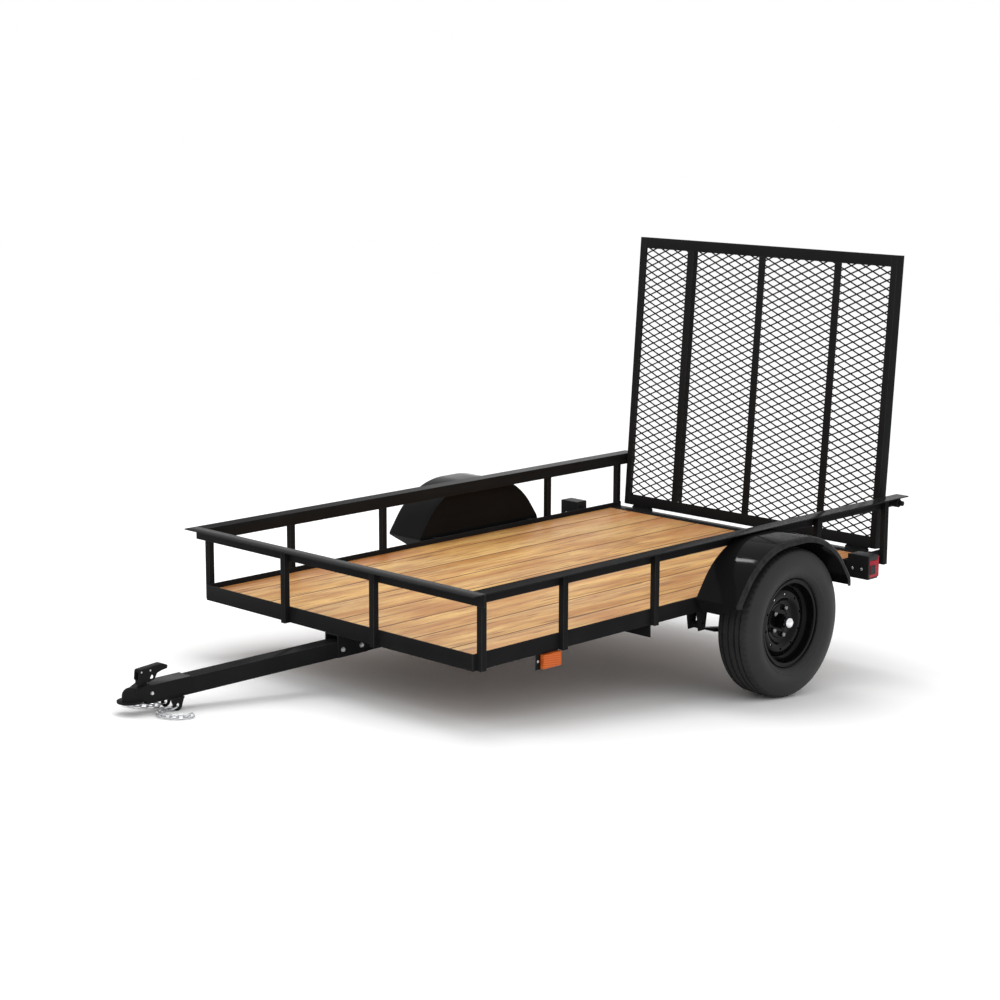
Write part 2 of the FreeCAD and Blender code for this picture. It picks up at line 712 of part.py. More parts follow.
def springs():
    """Leaf springs slung under the axle, and the U-bolts that clamp them to its pads."""
    top = tyre_radius - axle_radius - seat_pad
    eyes = [rod(axle_station + end * spring_half, spring_y - spring_wide / 2, eye_height, "y", spring_wide,
                eye_radius) for end in (-1, 1)]
    pack = fused([leaf_pack(top)] + eyes)
    for end in (-1, 1):
        pack = pack.cut(rod(axle_station + end * spring_half, spring_y - spring_wide / 2, eye_height, "y",
                            spring_wide, eye_bolt_radius + eye_play))
    parts["springs"] = both(pack)
    low = top - len(leaf_reaches) * leaf_thick
    half_bow = (axle_radius + clamp_radius + clamp_play) / math.cos(math.pi / clamp_bends / 2)
    leg_off = spring_wide / 2 + clamp_radius + clamp_play
    edge = leg_off + 2 * clamp_radius
    plate = box(axle_station - half_bow - 2 * clamp_radius, axle_station + half_bow + 2 * clamp_radius,
                spring_y - edge, spring_y + edge, low - clamp_plate, low)
    clamps = [plate]
    for side in (-1, 1):
        y = spring_y + side * leg_off
        foot = low - clamp_plate - clamp_foot
        turns = [math.pi * k / clamp_bends for k in range(clamp_bends + 1)]
        bow = [V(axle_station - half_bow * math.cos(a), y, tyre_radius + half_bow * math.sin(a))
               for a in turns]
        path = [V(axle_station - half_bow, y, foot)] + bow + [V(axle_station + half_bow, y, foot)]
        clamps.append(bent_bar(path, V(0, 1, 0), clamp_radius, clamp_sides, False))
    parts["spring_clamps"] = both(fused(clamps))


def spring_hangers():
    """Fixed hangers in front and swinging shackles behind, each with its bolt through the eye."""
    inner = spring_wide / 2 + hanger_play
    outer = inner + hanger_wall
    front_x, rear_x = axle_station + spring_half, axle_station - spring_half
    low = eye_height - hanger_toe
    front, rear = [], []
    for side in (-1, 1):
        start, end = spring_y + side * inner, spring_y + side * outer
        front.append(prism([(front_x - hanger_top, frame_bottom), (front_x + hanger_top, frame_bottom),
                            (front_x + hanger_toe, low), (front_x - hanger_toe, low)], "y", start, end))
        rear.append(rounded([(rear_x - shackle_half, eye_height - shackle_half),
                             (rear_x + shackle_half, eye_height - shackle_half),
                             (rear_x + shackle_half, frame_bottom - hanger_wall),
                             (rear_x - shackle_half, frame_bottom - hanger_wall)],
                            [shackle_half - 1] * 2 + [1] * 2, "y", start, end))
    lug = box(rear_x - shackle_half, rear_x + shackle_half, spring_y - inner, spring_y + inner,
              frame_bottom - 2 * shackle_half, frame_bottom)
    for x, pieces in ((front_x, front), (rear_x, rear)):
        pieces.append(rod(x, spring_y - outer - hanger_wall, eye_height, "y", 2 * (outer + hanger_wall),
                          eye_bolt_radius))
    fore, aft = fused(front), fused(rear + [lug])
    parts["spring_hangers"] = Part.makeCompound([fore, aft, mirrored(fore), mirrored(aft)])


# Fenders

def fender_outline(inset, drop):
    """Corners of the wheel arch, moved inwards by a wall, with its two open ends lowered by a drop."""
    slope = math.radians(fender_slope)
    knee = fender_reach - inset / math.sin(slope)
    top = fender_top - inset
    shoulder = knee - (top - fender_knee) / math.tan(slope)
    toe_fall = (fender_reach - fender_toe) / (fender_knee - fender_foot)
    bend = fender_reach - inset * math.hypot(1, toe_fall)
    foot = fender_foot - drop
    corners = [(bend - (fender_knee - foot) * toe_fall, foot), (min(knee, bend), fender_knee),
               (shoulder, top), (-shoulder, top), (-knee, fender_knee),
               (inset - fender_reach, fender_tail - drop)]
    points = [(axle_station + fender_ahead + x, z) for x, z in corners]
    radii = [0, fender_bend, fender_crown - inset, fender_crown - inset, fender_ease, 0]
    return points, radii


def fenders():
    """Open-ended arches with a rounded outer edge and a narrow lip on their outer side."""
    points, radii = fender_outline(0, 0)
    outer = rounded(points, radii, "y", fender_inner_y, fender_outer_y)
    outer = rolled(outer, fender_outer_y, 0, fender_roll)
    points, radii = fender_outline(fender_sheet, fender_lip)
    inner = rounded(points, radii, "y", fender_inner_y + fender_sheet, fender_outer_y - fender_sheet)
    inner = rolled(inner, fender_outer_y - fender_sheet, fender_lip, fender_roll - fender_sheet)
    points, radii = fender_outline(fender_lip, fender_lip)
    beyond = fender_outer_y + fender_roll
    mouth = rounded(points, radii, "y", fender_outer_y - fender_roll, beyond)
    steep = (fender_knee - fender_foot) / fender_clip
    low = fender_foot - fender_lip
    corner = prism([(beyond, fender_knee + fender_roll * steep), (beyond, low),
                    (fender_outer_y - (fender_knee - low) / steep, low)],
                   "x", axle_station + fender_ahead, axle_station + 2 * fender_reach)
    arch = outer.cut(inner).cut(mouth).cut(corner)
    parts["fender_left"] = arch
    parts["fender_right"] = mirrored(arch)
    stubs = []
    for x in (axle_station - bracket_reach, axle_station + bracket_reach):
        stubs.append(square_tube(x - post_side / 2, x + post_side / 2, half, fender_inner_y,
                                 fender_tail + bracket_drop, frame_top, post_wall, "y"))
    parts["fender_brackets"] = both(Part.makeCompound(stubs))


def rolled(shape, edge_y, drop, radius):
    """Round the outer edge of an arch over its whole length but for the line between its two ends."""
    ends = (fender_foot - drop, fender_tail - drop)
    chosen = [e for e in shape.Edges
              if all(abs(v.Y - edge_y) < 0.01 for v in e.Vertexes)
              and not all(min(abs(v.Z - end) for end in ends) < 0.01 for v in e.Vertexes)]
    return shape.makeFillet(radius, chosen)


# Lamps

def lamps():
    """Tail lamps on plates behind the fenders, and amber markers under the front of the frame."""
    station = lamp_ahead - frame_length
    inner = half + lamp_offset
    outer = inner + lamp_wide
    front = station - lamp_plate
    back = front - lamp_deep
    plate = box(station, front, half, outer, lamp_low, lamp_high)
    plate = plate.cut(box(station, front, half, inner - lens_edge, frame_top, lamp_high))
    shell = box(front, back + lens_thick, inner, outer, lamp_low, lamp_high)
    window = box(front - lens_edge, back, outer - lens_thick, outer, lens_low, lens_high)
    parts["lamp_housings"] = both(shell.cut(window))
    rear_lens = box(back + lens_thick, back, inner + lens_edge, outer, lamp_low + lens_edge,
                    lamp_high - lens_edge)
    side_lens = box(front - lens_edge, back + lens_thick, outer - lens_thick, outer, lens_low, lens_high)
    parts["lamp_lenses"] = both(rear_lens.fuse(side_lens))
    mount = box(marker_front + marker_tab, marker_rear, half - angle_wall - marker_plate, half - angle_wall,
                marker_low, frame_bottom)
    parts["lamp_brackets"] = Part.makeCompound([plate, mirrored(plate), mount, mirrored(mount)])
    top, low = frame_bottom - marker_plate, marker_low + marker_plate
    amber = rounded([(marker_front, low), (marker_front, top), (marker_rear, top), (marker_rear, low)],
                    [marker_corner] * 4, "y", half - angle_wall, half - angle_wall + marker_deep)
    parts["marker_lenses"] = both(amber)


# Ramp gate, drawn upright and then leaned back about its pins

def gate_frame():
    face, back = gate_face, gate_face - gate_wall
    foot, top = gate_foot, gate_foot + gate_height
    for name, side, y in (("gate_side_left", 1, gate_left), ("gate_side_right", -1, gate_right)):
        parts[name] = prism([(face, y), (face, y - side * gate_bar), (back, y - side * gate_bar),
                             (back, y - side * gate_wall), (face - gate_rail, y - side * gate_wall),
                             (face - gate_rail, y)], "z", foot, top)
    for name, z, turn in (("gate_bottom_bar", foot, 1), ("gate_top_bar", top, -1)):
        bar = prism([(face, z), (face, z + turn * gate_rail), (back, z + turn * gate_rail),
                     (back, z + turn * gate_wall), (face - gate_bar, z + turn * gate_wall),
                     (face - gate_bar, z)], "y", gate_right, gate_left)
        parts[name] = bar.cut(parts["gate_side_left"]).cut(parts["gate_side_right"])
    ribs = []
    for y, side in zip(rib_centres, rib_edges):
        edge = y + side * rib_bar / 2
        ribs.append(prism([(face, edge), (face, edge - side * rib_bar), (back, edge - side * rib_bar),
                           (back, edge - side * gate_wall), (face - gate_bar, edge - side * gate_wall),
                           (face - gate_bar, edge)], "z", foot + gate_rail, top - gate_rail))
    parts["gate_ribs"] = Part.makeCompound(ribs)


def clip(points, limit, index, keep_above):
    """Cut a flat outline by one straight limit on one of its two directions."""
    out = []
    for i, here in enumerate(points):
        there = points[(i + 1) % len(points)]
        here_in = here[index] >= limit if keep_above else here[index] <= limit
        there_in = there[index] >= limit if keep_above else there[index] <= limit
        if here_in:
            out.append(here)
        if here_in != there_in:
            share = (limit - here[index]) / (there[index] - here[index])
            cross = [here[k] + share * (there[k] - here[k]) for k in (0, 1)]
            cross[index] = limit
            out.append(tuple(cross))
    return out


def gate_mesh():
    """Expanded metal in the four bays: two sets of slanting strands, one behind the other."""
    edges = [gate_right + gate_wall + strand_gap]
    for y, side in zip(rib_centres, rib_edges):
        leg_outer = y + side * rib_bar / 2
        leg_inner = leg_outer - side * gate_wall
        edges += [min(leg_outer, leg_inner) - strand_gap, max(leg_outer, leg_inner) + strand_gap]
    edges.append(gate_left - gate_wall - strand_gap)
    low = gate_foot + gate_rail - mesh_tuck
    high = gate_foot + gate_height - gate_rail + mesh_tuck
    slope = mesh_short / mesh_long
    half_tall = strand_wide / 2 * math.hypot(1, slope)
    for name, turn, depth in (("gate_mesh_rising", 1, gate_wall), ("gate_mesh_falling", -1,
                                                                  gate_wall + strand_thick + strand_gap)):
        strands = []
        for bay in range(0, len(edges), 2):
            left, right = edges[bay], edges[bay + 1]
            first = math.floor((low - slope * gate_width) / mesh_short)
            last = math.ceil((high + slope * gate_width) / mesh_short)
            for i in range(first, last + 1):
                at_left = i * mesh_short + turn * slope * left
                at_right = i * mesh_short + turn * slope * right
                outline = [(left, at_left - half_tall), (right, at_right - half_tall),
                           (right, at_right + half_tall), (left, at_left + half_tall)]
                outline = clip(clip(outline, low, 1, True), high, 1, False)
                width = max((p[0] for p in outline), default=0) - min((p[0] for p in outline), default=0)
                if len(outline) > 2 and width > 4 * strand_wide:
                    face = gate_face - depth
                    strands.append(prism(outline, "x", face, face - strand_thick))
        parts[name] = Part.makeCompound(strands)


def gate_hinges():
    leaf = hinge_length / 2
    centre_half = leaf / 2
    bore = pin_radius + pin_play
    fixed, swinging = [], []
    for y in (gate_right + hinge_inset, gate_left - hinge_inset):
        for end in (-1, 1):
            start = y + end * (centre_half + knuckle_gap / 2)
            reach = end * (leaf - centre_half - knuckle_gap / 2)
            knuckle = rod(pin_x, start, pin_z, "y", reach, hinge_radius)
            web = box(pin_x, -frame_length, start, start + reach, pin_z - hinge_radius, pin_z)
            fixed += [knuckle, web]
        fixed.append(rod(pin_x, y - leaf - pin_end, pin_z, "y", hinge_length + 2 * pin_end, pin_radius))
        middle = rod(pin_x, y - centre_half + knuckle_gap / 2, pin_z, "y", 2 * centre_half - knuckle_gap,
                     hinge_radius)
        web = box(pin_x - hinge_radius, gate_face - gate_wall, y - centre_half + knuckle_gap / 2,
                  y + centre_half - knuckle_gap / 2, pin_z, gate_foot)
        swinging.append(middle.fuse(web).cut(rod(pin_x, y - leaf, pin_z, "y", hinge_length, bore)))
    left = [s for s in fixed if s.BoundBox.YMax > 0]
    right = [s for s in fixed if s.BoundBox.YMax <= 0]
    parts["hinge_leaves"] = Part.makeCompound([fused(left), fused(right)])
    parts["gate_knuckles"] = Part.makeCompound(swinging)


def gate_latches():
    """A spring plunger on each rail's end, drawn back clear of the gate."""
    out = half + barrel_length + plunger_draw
    latches = []
    for side, edge in ((1, gate_left), (-1, gate_right)):
        barrel = rod(plunger_x, side * half, plunger_z, "y", side * barrel_length, barrel_radius)
        tip = edge + side * plunger_gap
        plunger = rod(plunger_x, tip, plunger_z, "y", side * out - tip, plunger_radius)
        knob = rod(plunger_x, side * (out - knob_length), plunger_z, "y", side * knob_length, knob_radius)
        latches.append(fused([barrel, plunger, knob]))
    parts["gate_latches"] = Part.makeCompound(latches)


def lean_gate():
    for name, shape in parts.items():
        if name.startswith("gate_") and name != "gate_latches":
            shape.rotate(V(pin_x, 0, pin_z), V(0, 1, 0), -gate_lean)


# Resting pose

def rest_pitch():
    """Degrees that the nose drops until the chain ears touch the ground, about the axle."""
    reach = ear_station - axle_station
    drop = tyre_radius - ear_height
    level = math.atan2(drop, reach)
    resting = math.asin((tyre_radius - ear_radius) / math.hypot(reach, drop))
    return math.degrees(resting - level)


def park():
    """Tip everything but the wheels about the axle."""
    for name, shape in parts.items():
        if not name.startswith(("tyre", "rim", "hub", "wheel")):
            shape.rotate(V(axle_station, 0, tyre_radius), V(0, 1, 0), rest_pitch())


def parked_point(x, z):
    """Where a point of the level trailer lies once it is parked."""
    turn = math.radians(rest_pitch())
    dx, dz = x - axle_station, z - tyre_radius
    return (axle_station + dx * math.cos(turn) + dz * math.sin(turn),
            tyre_radius - dx * math.sin(turn) + dz * math.cos(turn))


# Chains, which lie on the ground once it is parked

def chain_link(centre, along, roll):
    """One welded link, a long loop whose side direction is turned about its length by the roll."""
    across = V(-along.y, along.x, 0).normalize()
    tilt = math.radians(roll)
    side = across * math.cos(tilt) + along.cross(across) * math.sin(tilt)
    straight = link_reach - link_half_width
    corner = link_half_width * math.tan(math.radians(30))
    loop = [(straight, link_half_width), (link_reach, corner), (link_reach, -corner),
            (straight, -link_half_width), (-straight, -link_half_width), (-link_reach, -corner),
            (-link_reach, corner), (-straight, link_half_width)]
    return bent_bar([centre + along * u + side * w for u, w in loop], along.cross(side), chain_wire,
                    link_sides, True)


def chain_path(side):
    """Centre, direction and roll of each link, from the ear's hole out over the ground."""
    lie = chain_wire + link_half_width * math.sin(math.radians(max(link_rolls))) + link_ground_play
    eye_x, eye_z = parked_point(ear_station, ear_height)
    start = ear_hole - chain_wire - link_ear_play
    crossing = 2 * chain_wire + link_play
    fall = math.asin((eye_z - lie) / (start + 2 * link_reach - crossing))
    way = V(math.cos(fall), 0, -math.sin(fall))
    centre = V(eye_x, side * (tongue_side + ear_thick) / 2, eye_z) + way * (start + link_reach)
    heading = 0.0
    path = []
    for i in range(link_count):
        roll = link_rolls[i] if i < len(link_rolls) else link_roll * (-1) ** (i + 1)
        path.append((centre, way, side * roll))
        if i == link_count - 1:
            break
        far_end = centre + way * link_reach
        heading += math.radians(side * chain_turns[i])
        ahead = V(math.cos(heading), math.sin(heading), 0)
        near_end = far_end - (way + ahead).normalize() * crossing
        way = V(ahead.x, ahead.y, (lie - near_end.z) / link_reach).normalize()
        centre = near_end + way * link_reach
    return path


def chains():
    for name, side in (("chain_left", 1), ("chain_right", -1)):
        parts[name] = Part.makeCompound([chain_link(*link) for link in chain_path(side)])


def main():
    frame_members()
    joists()
    deck_boards()
    railing()
    posts()
    tongue()
    coupler()
    coupler_latch()
    chain_ears()
    wheels()
    springs()
    axle()
    spring_hangers()
    fenders()
    lamps()
    gate_frame()
    gate_mesh()
    gate_hinges()
    gate_latches()
    lean_gate()
    park()
    chains()
    os.makedirs("parts", exist_ok=True)
    bound = FreeCAD.BoundBox()
    for shape in parts.values():
        bound.add(shape.optimalBoundingBox(False, False))
    shift = V(-(bound.XMin + bound.XMax) / 2, -(bound.YMin + bound.YMax) / 2, -bound.ZMin)
    for name, shape in parts.items():
        shape.translate(shift)
        shape.exportStep("parts/%s.step" % name)
    print("pitch", round(rest_pitch(), 4), "shift", [round(c, 3) for c in shift])
    print("size", round(bound.XLength, 1), round(bound.YLength, 1), round(bound.ZLength, 1))
    for label, x, z in (("axle", axle_station, tyre_radius), ("gate pin", pin_x, pin_z),
                        ("ball", ball_station, ball_height), ("deck front", -angle_wall, deck_top),
                        ("ear", ear_station, ear_height)):
        px, pz = parked_point(x, z)
        print(label, round(px + shift.x, 3), round(pz + shift.z, 3))
    for name, shape in parts.items():
        print(name, "solids", len(shape.Solids), "volume", round(shape.Volume), "valid", shape.isValid())


main()
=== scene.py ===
# %% [markdown]
# # Dressing a utility trailer
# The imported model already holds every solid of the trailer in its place. This lesson gives those
# solids the looks of the real thing: rolled steel with soft edges, planks with grain, pressed
# wheels and a mesh gate. Nothing is moved, so each new piece is built straight onto the place that
# the model gives it.

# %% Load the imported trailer
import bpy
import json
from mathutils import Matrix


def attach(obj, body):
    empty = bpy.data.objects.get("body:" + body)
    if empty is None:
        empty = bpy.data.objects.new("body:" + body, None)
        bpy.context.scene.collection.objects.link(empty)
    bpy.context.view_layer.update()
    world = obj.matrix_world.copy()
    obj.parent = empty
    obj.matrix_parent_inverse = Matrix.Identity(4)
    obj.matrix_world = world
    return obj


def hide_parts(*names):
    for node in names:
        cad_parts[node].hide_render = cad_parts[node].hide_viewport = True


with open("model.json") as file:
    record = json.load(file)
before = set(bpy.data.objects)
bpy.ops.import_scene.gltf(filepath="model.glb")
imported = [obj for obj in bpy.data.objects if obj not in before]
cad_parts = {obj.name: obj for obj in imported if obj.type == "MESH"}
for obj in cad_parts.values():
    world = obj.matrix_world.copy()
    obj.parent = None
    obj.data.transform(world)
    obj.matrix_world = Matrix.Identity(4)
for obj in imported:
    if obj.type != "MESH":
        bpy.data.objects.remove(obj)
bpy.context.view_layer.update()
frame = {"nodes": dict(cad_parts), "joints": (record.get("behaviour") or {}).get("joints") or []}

# %% [markdown]
# The trailer rests nose down, but it is far easier to build it level. So the pieces below are drawn
# in millimetres on a level trailer, with x = 0 at the front of the frame, and a matrix sets them
# down as it rests. The joints tell where the axle and the gate's pins lie, so the matrix follows
# the model.

# %% Where things are
import json
import math
import bmesh
import bpy
from mathutils import Matrix, Vector

joints = {joint["name"]: joint for joint in frame["joints"]}
axle_rest = Vector(joints["wheel_left_spin"]["pos_m"])
axle_rest.y = 0
axle_x, axle_z, wheel_y = -1595.0, 305.0, 897.0
axle_level = Vector((axle_x, 0, axle_z))
pin_level = Vector((-2530, 0, 417))
rest_pitch, gate_lean = math.radians(5.8507), math.radians(4.2)
to_metres = Matrix.Scale(0.001, 4)
as_it_is = Matrix.Identity(4)

upright = Matrix.Translation(axle_rest) @ to_metres @ Matrix.Translation(-axle_level)
level = (Matrix.Translation(axle_rest) @ Matrix.Rotation(rest_pitch, 4, "Y") @ to_metres
         @ Matrix.Translation(-axle_level))
leaned = (level @ Matrix.Translation(pin_level) @ Matrix.Rotation(-gate_lean, 4, "Y")
          @ Matrix.Translation(-pin_level))
print("gate pin here", (level @ pin_level)[:], "and in the model", joints["gate_fold"]["pos_m"])

# %% [markdown]
# The camera comes first, because it decides which pieces show most. Its place was found by matching
# points of the level trailer to the picture, so it goes through the same matrix as the trailer. A
# small lens shift stands for the picture having been cropped off centre.

# %% Camera
picture_width = 1000
focal_pixels, middle_across, middle_down = 2189.94, 522.27, 472.58
eye_level = Vector((5295.1, 6106.5, 2463.7))
gaze = [math.radians(angle) for angle in (-136.036, 10.302, 0.321)]


def look(yaw, pitch, roll):
    """The camera's turn, from where it looks over the ground, how far down, and its roll."""
    ahead = Vector((math.cos(pitch) * math.cos(yaw), math.cos(pitch) * math.sin(yaw),
                    -math.sin(pitch)))
    across = ahead.cross(Vector((0, 0, 1))).normalized()
    above = across.cross(ahead)
    side = across * math.cos(roll) + above * math.sin(roll)
    top = above * math.cos(roll) - across * math.sin(roll)
    return Matrix((side, top, -ahead)).transposed().to_4x4()


lens = bpy.data.cameras.new("camera")
lens.sensor_width = 36
lens.lens = focal_pixels / picture_width * lens.sensor_width
lens.shift_x = (picture_width / 2 - middle_across) / picture_width
lens.shift_y = (middle_down - picture_width / 2) / picture_width
lens.clip_end = 100
camera = bpy.data.objects.new("camera", lens)
bpy.context.scene.collection.objects.link(camera)
eye = level @ eye_level
aimed = Matrix.Rotation(rest_pitch, 4, "Y") @ look(*gaze)
camera.matrix_world = Matrix.Translation(eye) @ aimed
bpy.context.scene.camera = camera
print("lens", round(lens.lens, 2), "mm at", [round(c, 3) for c in eye])

# %% [markdown]
# Shader maths reads best as sums. This class wraps a socket, so that `1 - mask * 0.4` adds the
# nodes for it, and its `node` method adds any other node. It serves the Geometry Nodes trees as
# well.

# %% Sums made of nodes
class Wire:
    """A socket of a node tree that can be added, multiplied and so on."""

    def __init__(self, tree, socket=None):
        self.tree, self.socket = tree, socket

    def node(self, kind, settings=None, sockets=None, out=0):
        """Add a node: its settings, then the values or links of its sockets.

        Gives the output that `out` names, or a list where it is a tuple of them."""
        made = self.tree.nodes.new(kind)
        for name, value in (settings or {}).items():
            setattr(made, name, value)
        for name, value in (sockets or {}).items():
            if isinstance(value, Wire):
                self.tree.links.new(value.socket, made.inputs[name])
            else:
                made.inputs[name].default_value = value
        if isinstance(out, tuple):
            return [Wire(self.tree, made.outputs[each]) for each in out]
        return Wire(self.tree, made.outputs[out])

    def maths(self, operation, *values):
        return self.node("ShaderNodeMath", {"operation": operation}, dict(enumerate(values)))

    def __add__(self, other):
        return self.maths("ADD", self, other)

    def __radd__(self, other):
        return self.maths("ADD", other, self)

    def __sub__(self, other):
        return self.maths("SUBTRACT", self, other)

    def __rsub__(self, other):
        return self.maths("SUBTRACT", other, self)

    def __mul__(self, other):
        return self.maths("MULTIPLY", self, other)

    def __rmul__(self, other):
        return self.maths("MULTIPLY", other, self)

    def __truediv__(self, other):
        return self.maths("DIVIDE", self, other)

    def __rtruediv__(self, other):
        return self.maths("DIVIDE", other, self)


print("operators ready")

# %% [markdown]
# Every finish starts as one Principled shader with its constants set on the shader itself. Only
# colour, roughness and bump are then fed by patterns, which keeps the finishes easy to bake for
# export. The patterns follow the piece's own coordinates, so they stay put when it moves.

# %% Start a finish
def new_finish(name, colour, roughness, **constants):
    """A material, the start of its node sums, and a function that feeds the shader."""
    material = bpy.data.materials.new(name)
    material.use_nodes = True
    tree = material.node_tree
    shader = tree.nodes["Principled BSDF"]
    shader.inputs["Base Color"].default_value = (*colour, 1)
    shader.inputs["Roughness"].default_value = roughness
    for key, value in constants.items():
        shader.inputs[key.replace("_", " ")].default_value = value
    return material, Wire(tree), lambda wire, key: tree.links.new(wire.socket, shader.inputs[key])


def own_place(start):
    return start.node("ShaderNodeTexCoord", out="Object")


def carried(start, name):
    """A number that the mesh carries as an attribute."""
    return start.node("ShaderNodeAttribute", {"attribute_name": name}, out="Fac")


print("finishes can start")

# %% [markdown]
# Four small helpers draw all the patterns: a noise, a value stretched between two ends, a colour
# mixed by a mask, and a bump. Colours go through a Mix node, because a Math node turns them grey.

# %% Patterns
def noise(start, place, scale, detail=3.0):
    return start.node("ShaderNodeTexNoise", None,
                      {"Vector": place, "Scale": scale, "Detail": detail})


def ranged(start, value, low, high, first=0.0, last=1.0):
    """A value stretched from one span to another and kept inside it."""
    return start.node("ShaderNodeMapRange", None, {"Value": value, "From Min": low,
                                                   "From Max": high, "To Min": first,
                                                   "To Max": last})


def mixed(start, mask, below, above):
    """A colour that a mask takes from one to another. Each is a wire or three numbers."""
    below, above = (c if isinstance(c, Wire) else (*c, 1) for c in (below, above))
    return start.node("ShaderNodeMix", {"data_type": "RGBA"}, {0: mask, 6: below, 7: above}, out=2)


def bumped(start, height, strength, depth):
    return start.node("ShaderNodeBump", None,
                      {"Height": height, "Strength": strength, "Distance": depth})


print("patterns ready")

# %% [markdown]
# The steel is powder coated: a deep black skin with a tight gloss, and a very fine orange peel that
# breaks up the reflections. A noise for the peel and a slower one for the gloss give both. An
# attribute named `edge`, which rounded edges carry, greys the colour in patches there: a painted
# highlight. A very low specular level keeps the flats black under a white sky. The wheels and the
# fenders carry smoother coats, and the fenders mirror a little more.

# %% Black paint
painted_edge_highlight_grey = (0.055, 0.055, 0.058)


def paint(name, colour, roughness, peel, shine=0.1):
    material, start, feed = new_finish(name, colour, roughness, Specular_IOR_Level=shine)
    place = own_place(start)
    slow = noise(start, place, 7.0)
    skin = mixed(start, slow, [c * 0.8 for c in colour], [c * 1.25 for c in colour])
    patchy = ranged(start, noise(start, place, 38.0, 4.0), 0.3, 0.7, 0.35, 1.0)
    # Rounded edges turn grey in patches: a painted highlight.
    feed(mixed(start, carried(start, "edge") * patchy, skin, painted_edge_highlight_grey), "Base Color")
    feed(slow * 0.12 + (roughness - 0.05), "Roughness")
    feed(bumped(start, noise(start, place, 700.0, 2.0), peel, 0.0003), "Normal")
    return material


steel_black = paint("powder_coat_black", (0.0185, 0.0185, 0.019), 0.18, 0.1, 0.008)
wheel_black = paint("wheel_gloss_black", (0.0045, 0.0045, 0.005), 0.16, 0.08)
fender_black = paint("fender_gloss_black", (0.0105, 0.0105, 0.011), 0.09, 0.04, 0.03)
print("paints", steel_black.name, wheel_black.name, fender_black.name)

# %% [markdown]
# The planks are fresh softwood. Straw and honey patches drift along each plank, bands of late wood
# come and go, dark resin streaks and knots break them up, and the outer edges are redder. Every
# pattern is drawn out along x. An attribute that the mesh carries shifts it on each plank, so no
# two planks match. The seams are darkened by their place across the deck, as dark joints and
# painted shade, and the planks' sides below the top get the same dark as painted shade. The colours
# are laid over each other in the order of the list.

# %% Planks
honey, straw, pale = (0.54, 0.23, 0.048), (0.86, 0.515, 0.162), (0.80, 0.55, 0.23)
late_wood, fibre, resin = (0.40, 0.15, 0.035), (0.44, 0.20, 0.055), (0.26, 0.10, 0.03)
knot_ring, knot_heart = (0.50, 0.20, 0.06), (0.13, 0.05, 0.02)
redder, seam_dirt_and_painted_shade = (0.58, 0.19, 0.05), (0.13, 0.05, 0.018)
board_pitch, outer_board = 0.2025, 0.5875


def make_pine():
    material, start, feed = new_finish("pine_planks", (0.66, 0.40, 0.16), 0.5)
    tone = carried(start, "tone")
    shift = start.node("ShaderNodeCombineXYZ", None,
                       {"X": tone * 7.0, "Y": tone * 3.0, "Z": tone * 5.0})

    def along(scale):
        """Coordinates drawn out along the planks, and shifted on each."""
        long = start.node("ShaderNodeMapping", None, {"Vector": own_place(start), "Scale": scale})
        return start.node("ShaderNodeVectorMath", {"operation": "ADD"}, {0: long, 1: shift})

    def drift(stretch, scale, detail, *span):
        return ranged(start, noise(start, along(stretch), scale, detail), *span)

    bands = start.node("ShaderNodeTexWave", {"wave_type": "BANDS", "bands_direction": "Y",
                                             "wave_profile": "SAW"},
                       {"Vector": along((0.5, 5.5, 5.5)), "Scale": 1.25, "Distortion": 11.0,
                        "Detail": 4.0, "Detail Scale": 1.1}, out="Fac")
    here = drift((1.0, 8.0, 4.0), 1.7, 2.0, 0.38, 0.6)
    fibres = noise(start, along((9.0, 420.0, 420.0)), 1.0, 3.0)
    spots = start.node("ShaderNodeTexVoronoi", None,
                       {"Vector": along((2.6, 6.5, 1.0)), "Scale": 1.0}, out="Distance")
    forward, across = start.node("ShaderNodeSeparateXYZ", None, {0: own_place(start)}, out=(0, 1))
    outer = ranged(start, start.maths("ABSOLUTE", across), 0.56, 0.76)
    rear = ranged(start, forward, -1.1, -1.66)
    warmth = drift((2.0, 7.0, 2.0), 1.0, 2.0, 0.3, 0.6)
    cell = start.maths("FRACT", (across - outer_board) / board_pitch + 0.5)
    from_seam = start.maths("ABSOLUTE", cell - 0.5) * board_pitch
    seam = ranged(start, from_seam, 0.002, 0.006, 0.95, 0.0)

    wood = mixed(start, drift((2.4, 12.0, 4.0), 1.0, 4.0, 0.36, 0.64), honey, straw)
    for mask, colour in [(drift((0.8, 5.0, 3.0), 1.3, 2.0, 0.5, 0.72, 0.0, 0.55), pale),
                         (bands * bands * here * 0.8, late_wood),
                         (ranged(start, fibres, 0.45, 0.75, 0.0, 0.4), fibre),
                         (drift((3.2, 75.0, 40.0), 1.0, 2.0, 0.58, 0.7, 0.0, 0.9), resin),
                         (ranged(start, spots, 0.06, 0.2, 0.55, 0.0), knot_ring),
                         (ranged(start, spots, 0.03, 0.07, 0.9, 0.0), knot_heart),
                         (start.maths("MAXIMUM", outer, rear) * warmth * 0.7, redder),
                         # Seams: dark joints and painted shade. Plank sides below the top: painted
                         # shade.
                         (start.maths("MAXIMUM", carried(start, "side") * 0.85, seam),
                          seam_dirt_and_painted_shade)]:
        wood = mixed(start, mask, wood, colour)
    feed(wood, "Base Color")
    feed(fibres * 0.2 + 0.38, "Roughness")
    feed(bumped(start, bands * here * 0.6 + fibres * 0.6, 0.3, 0.0008), "Normal")
    return material


pine = make_pine()
print("wood", pine.name)
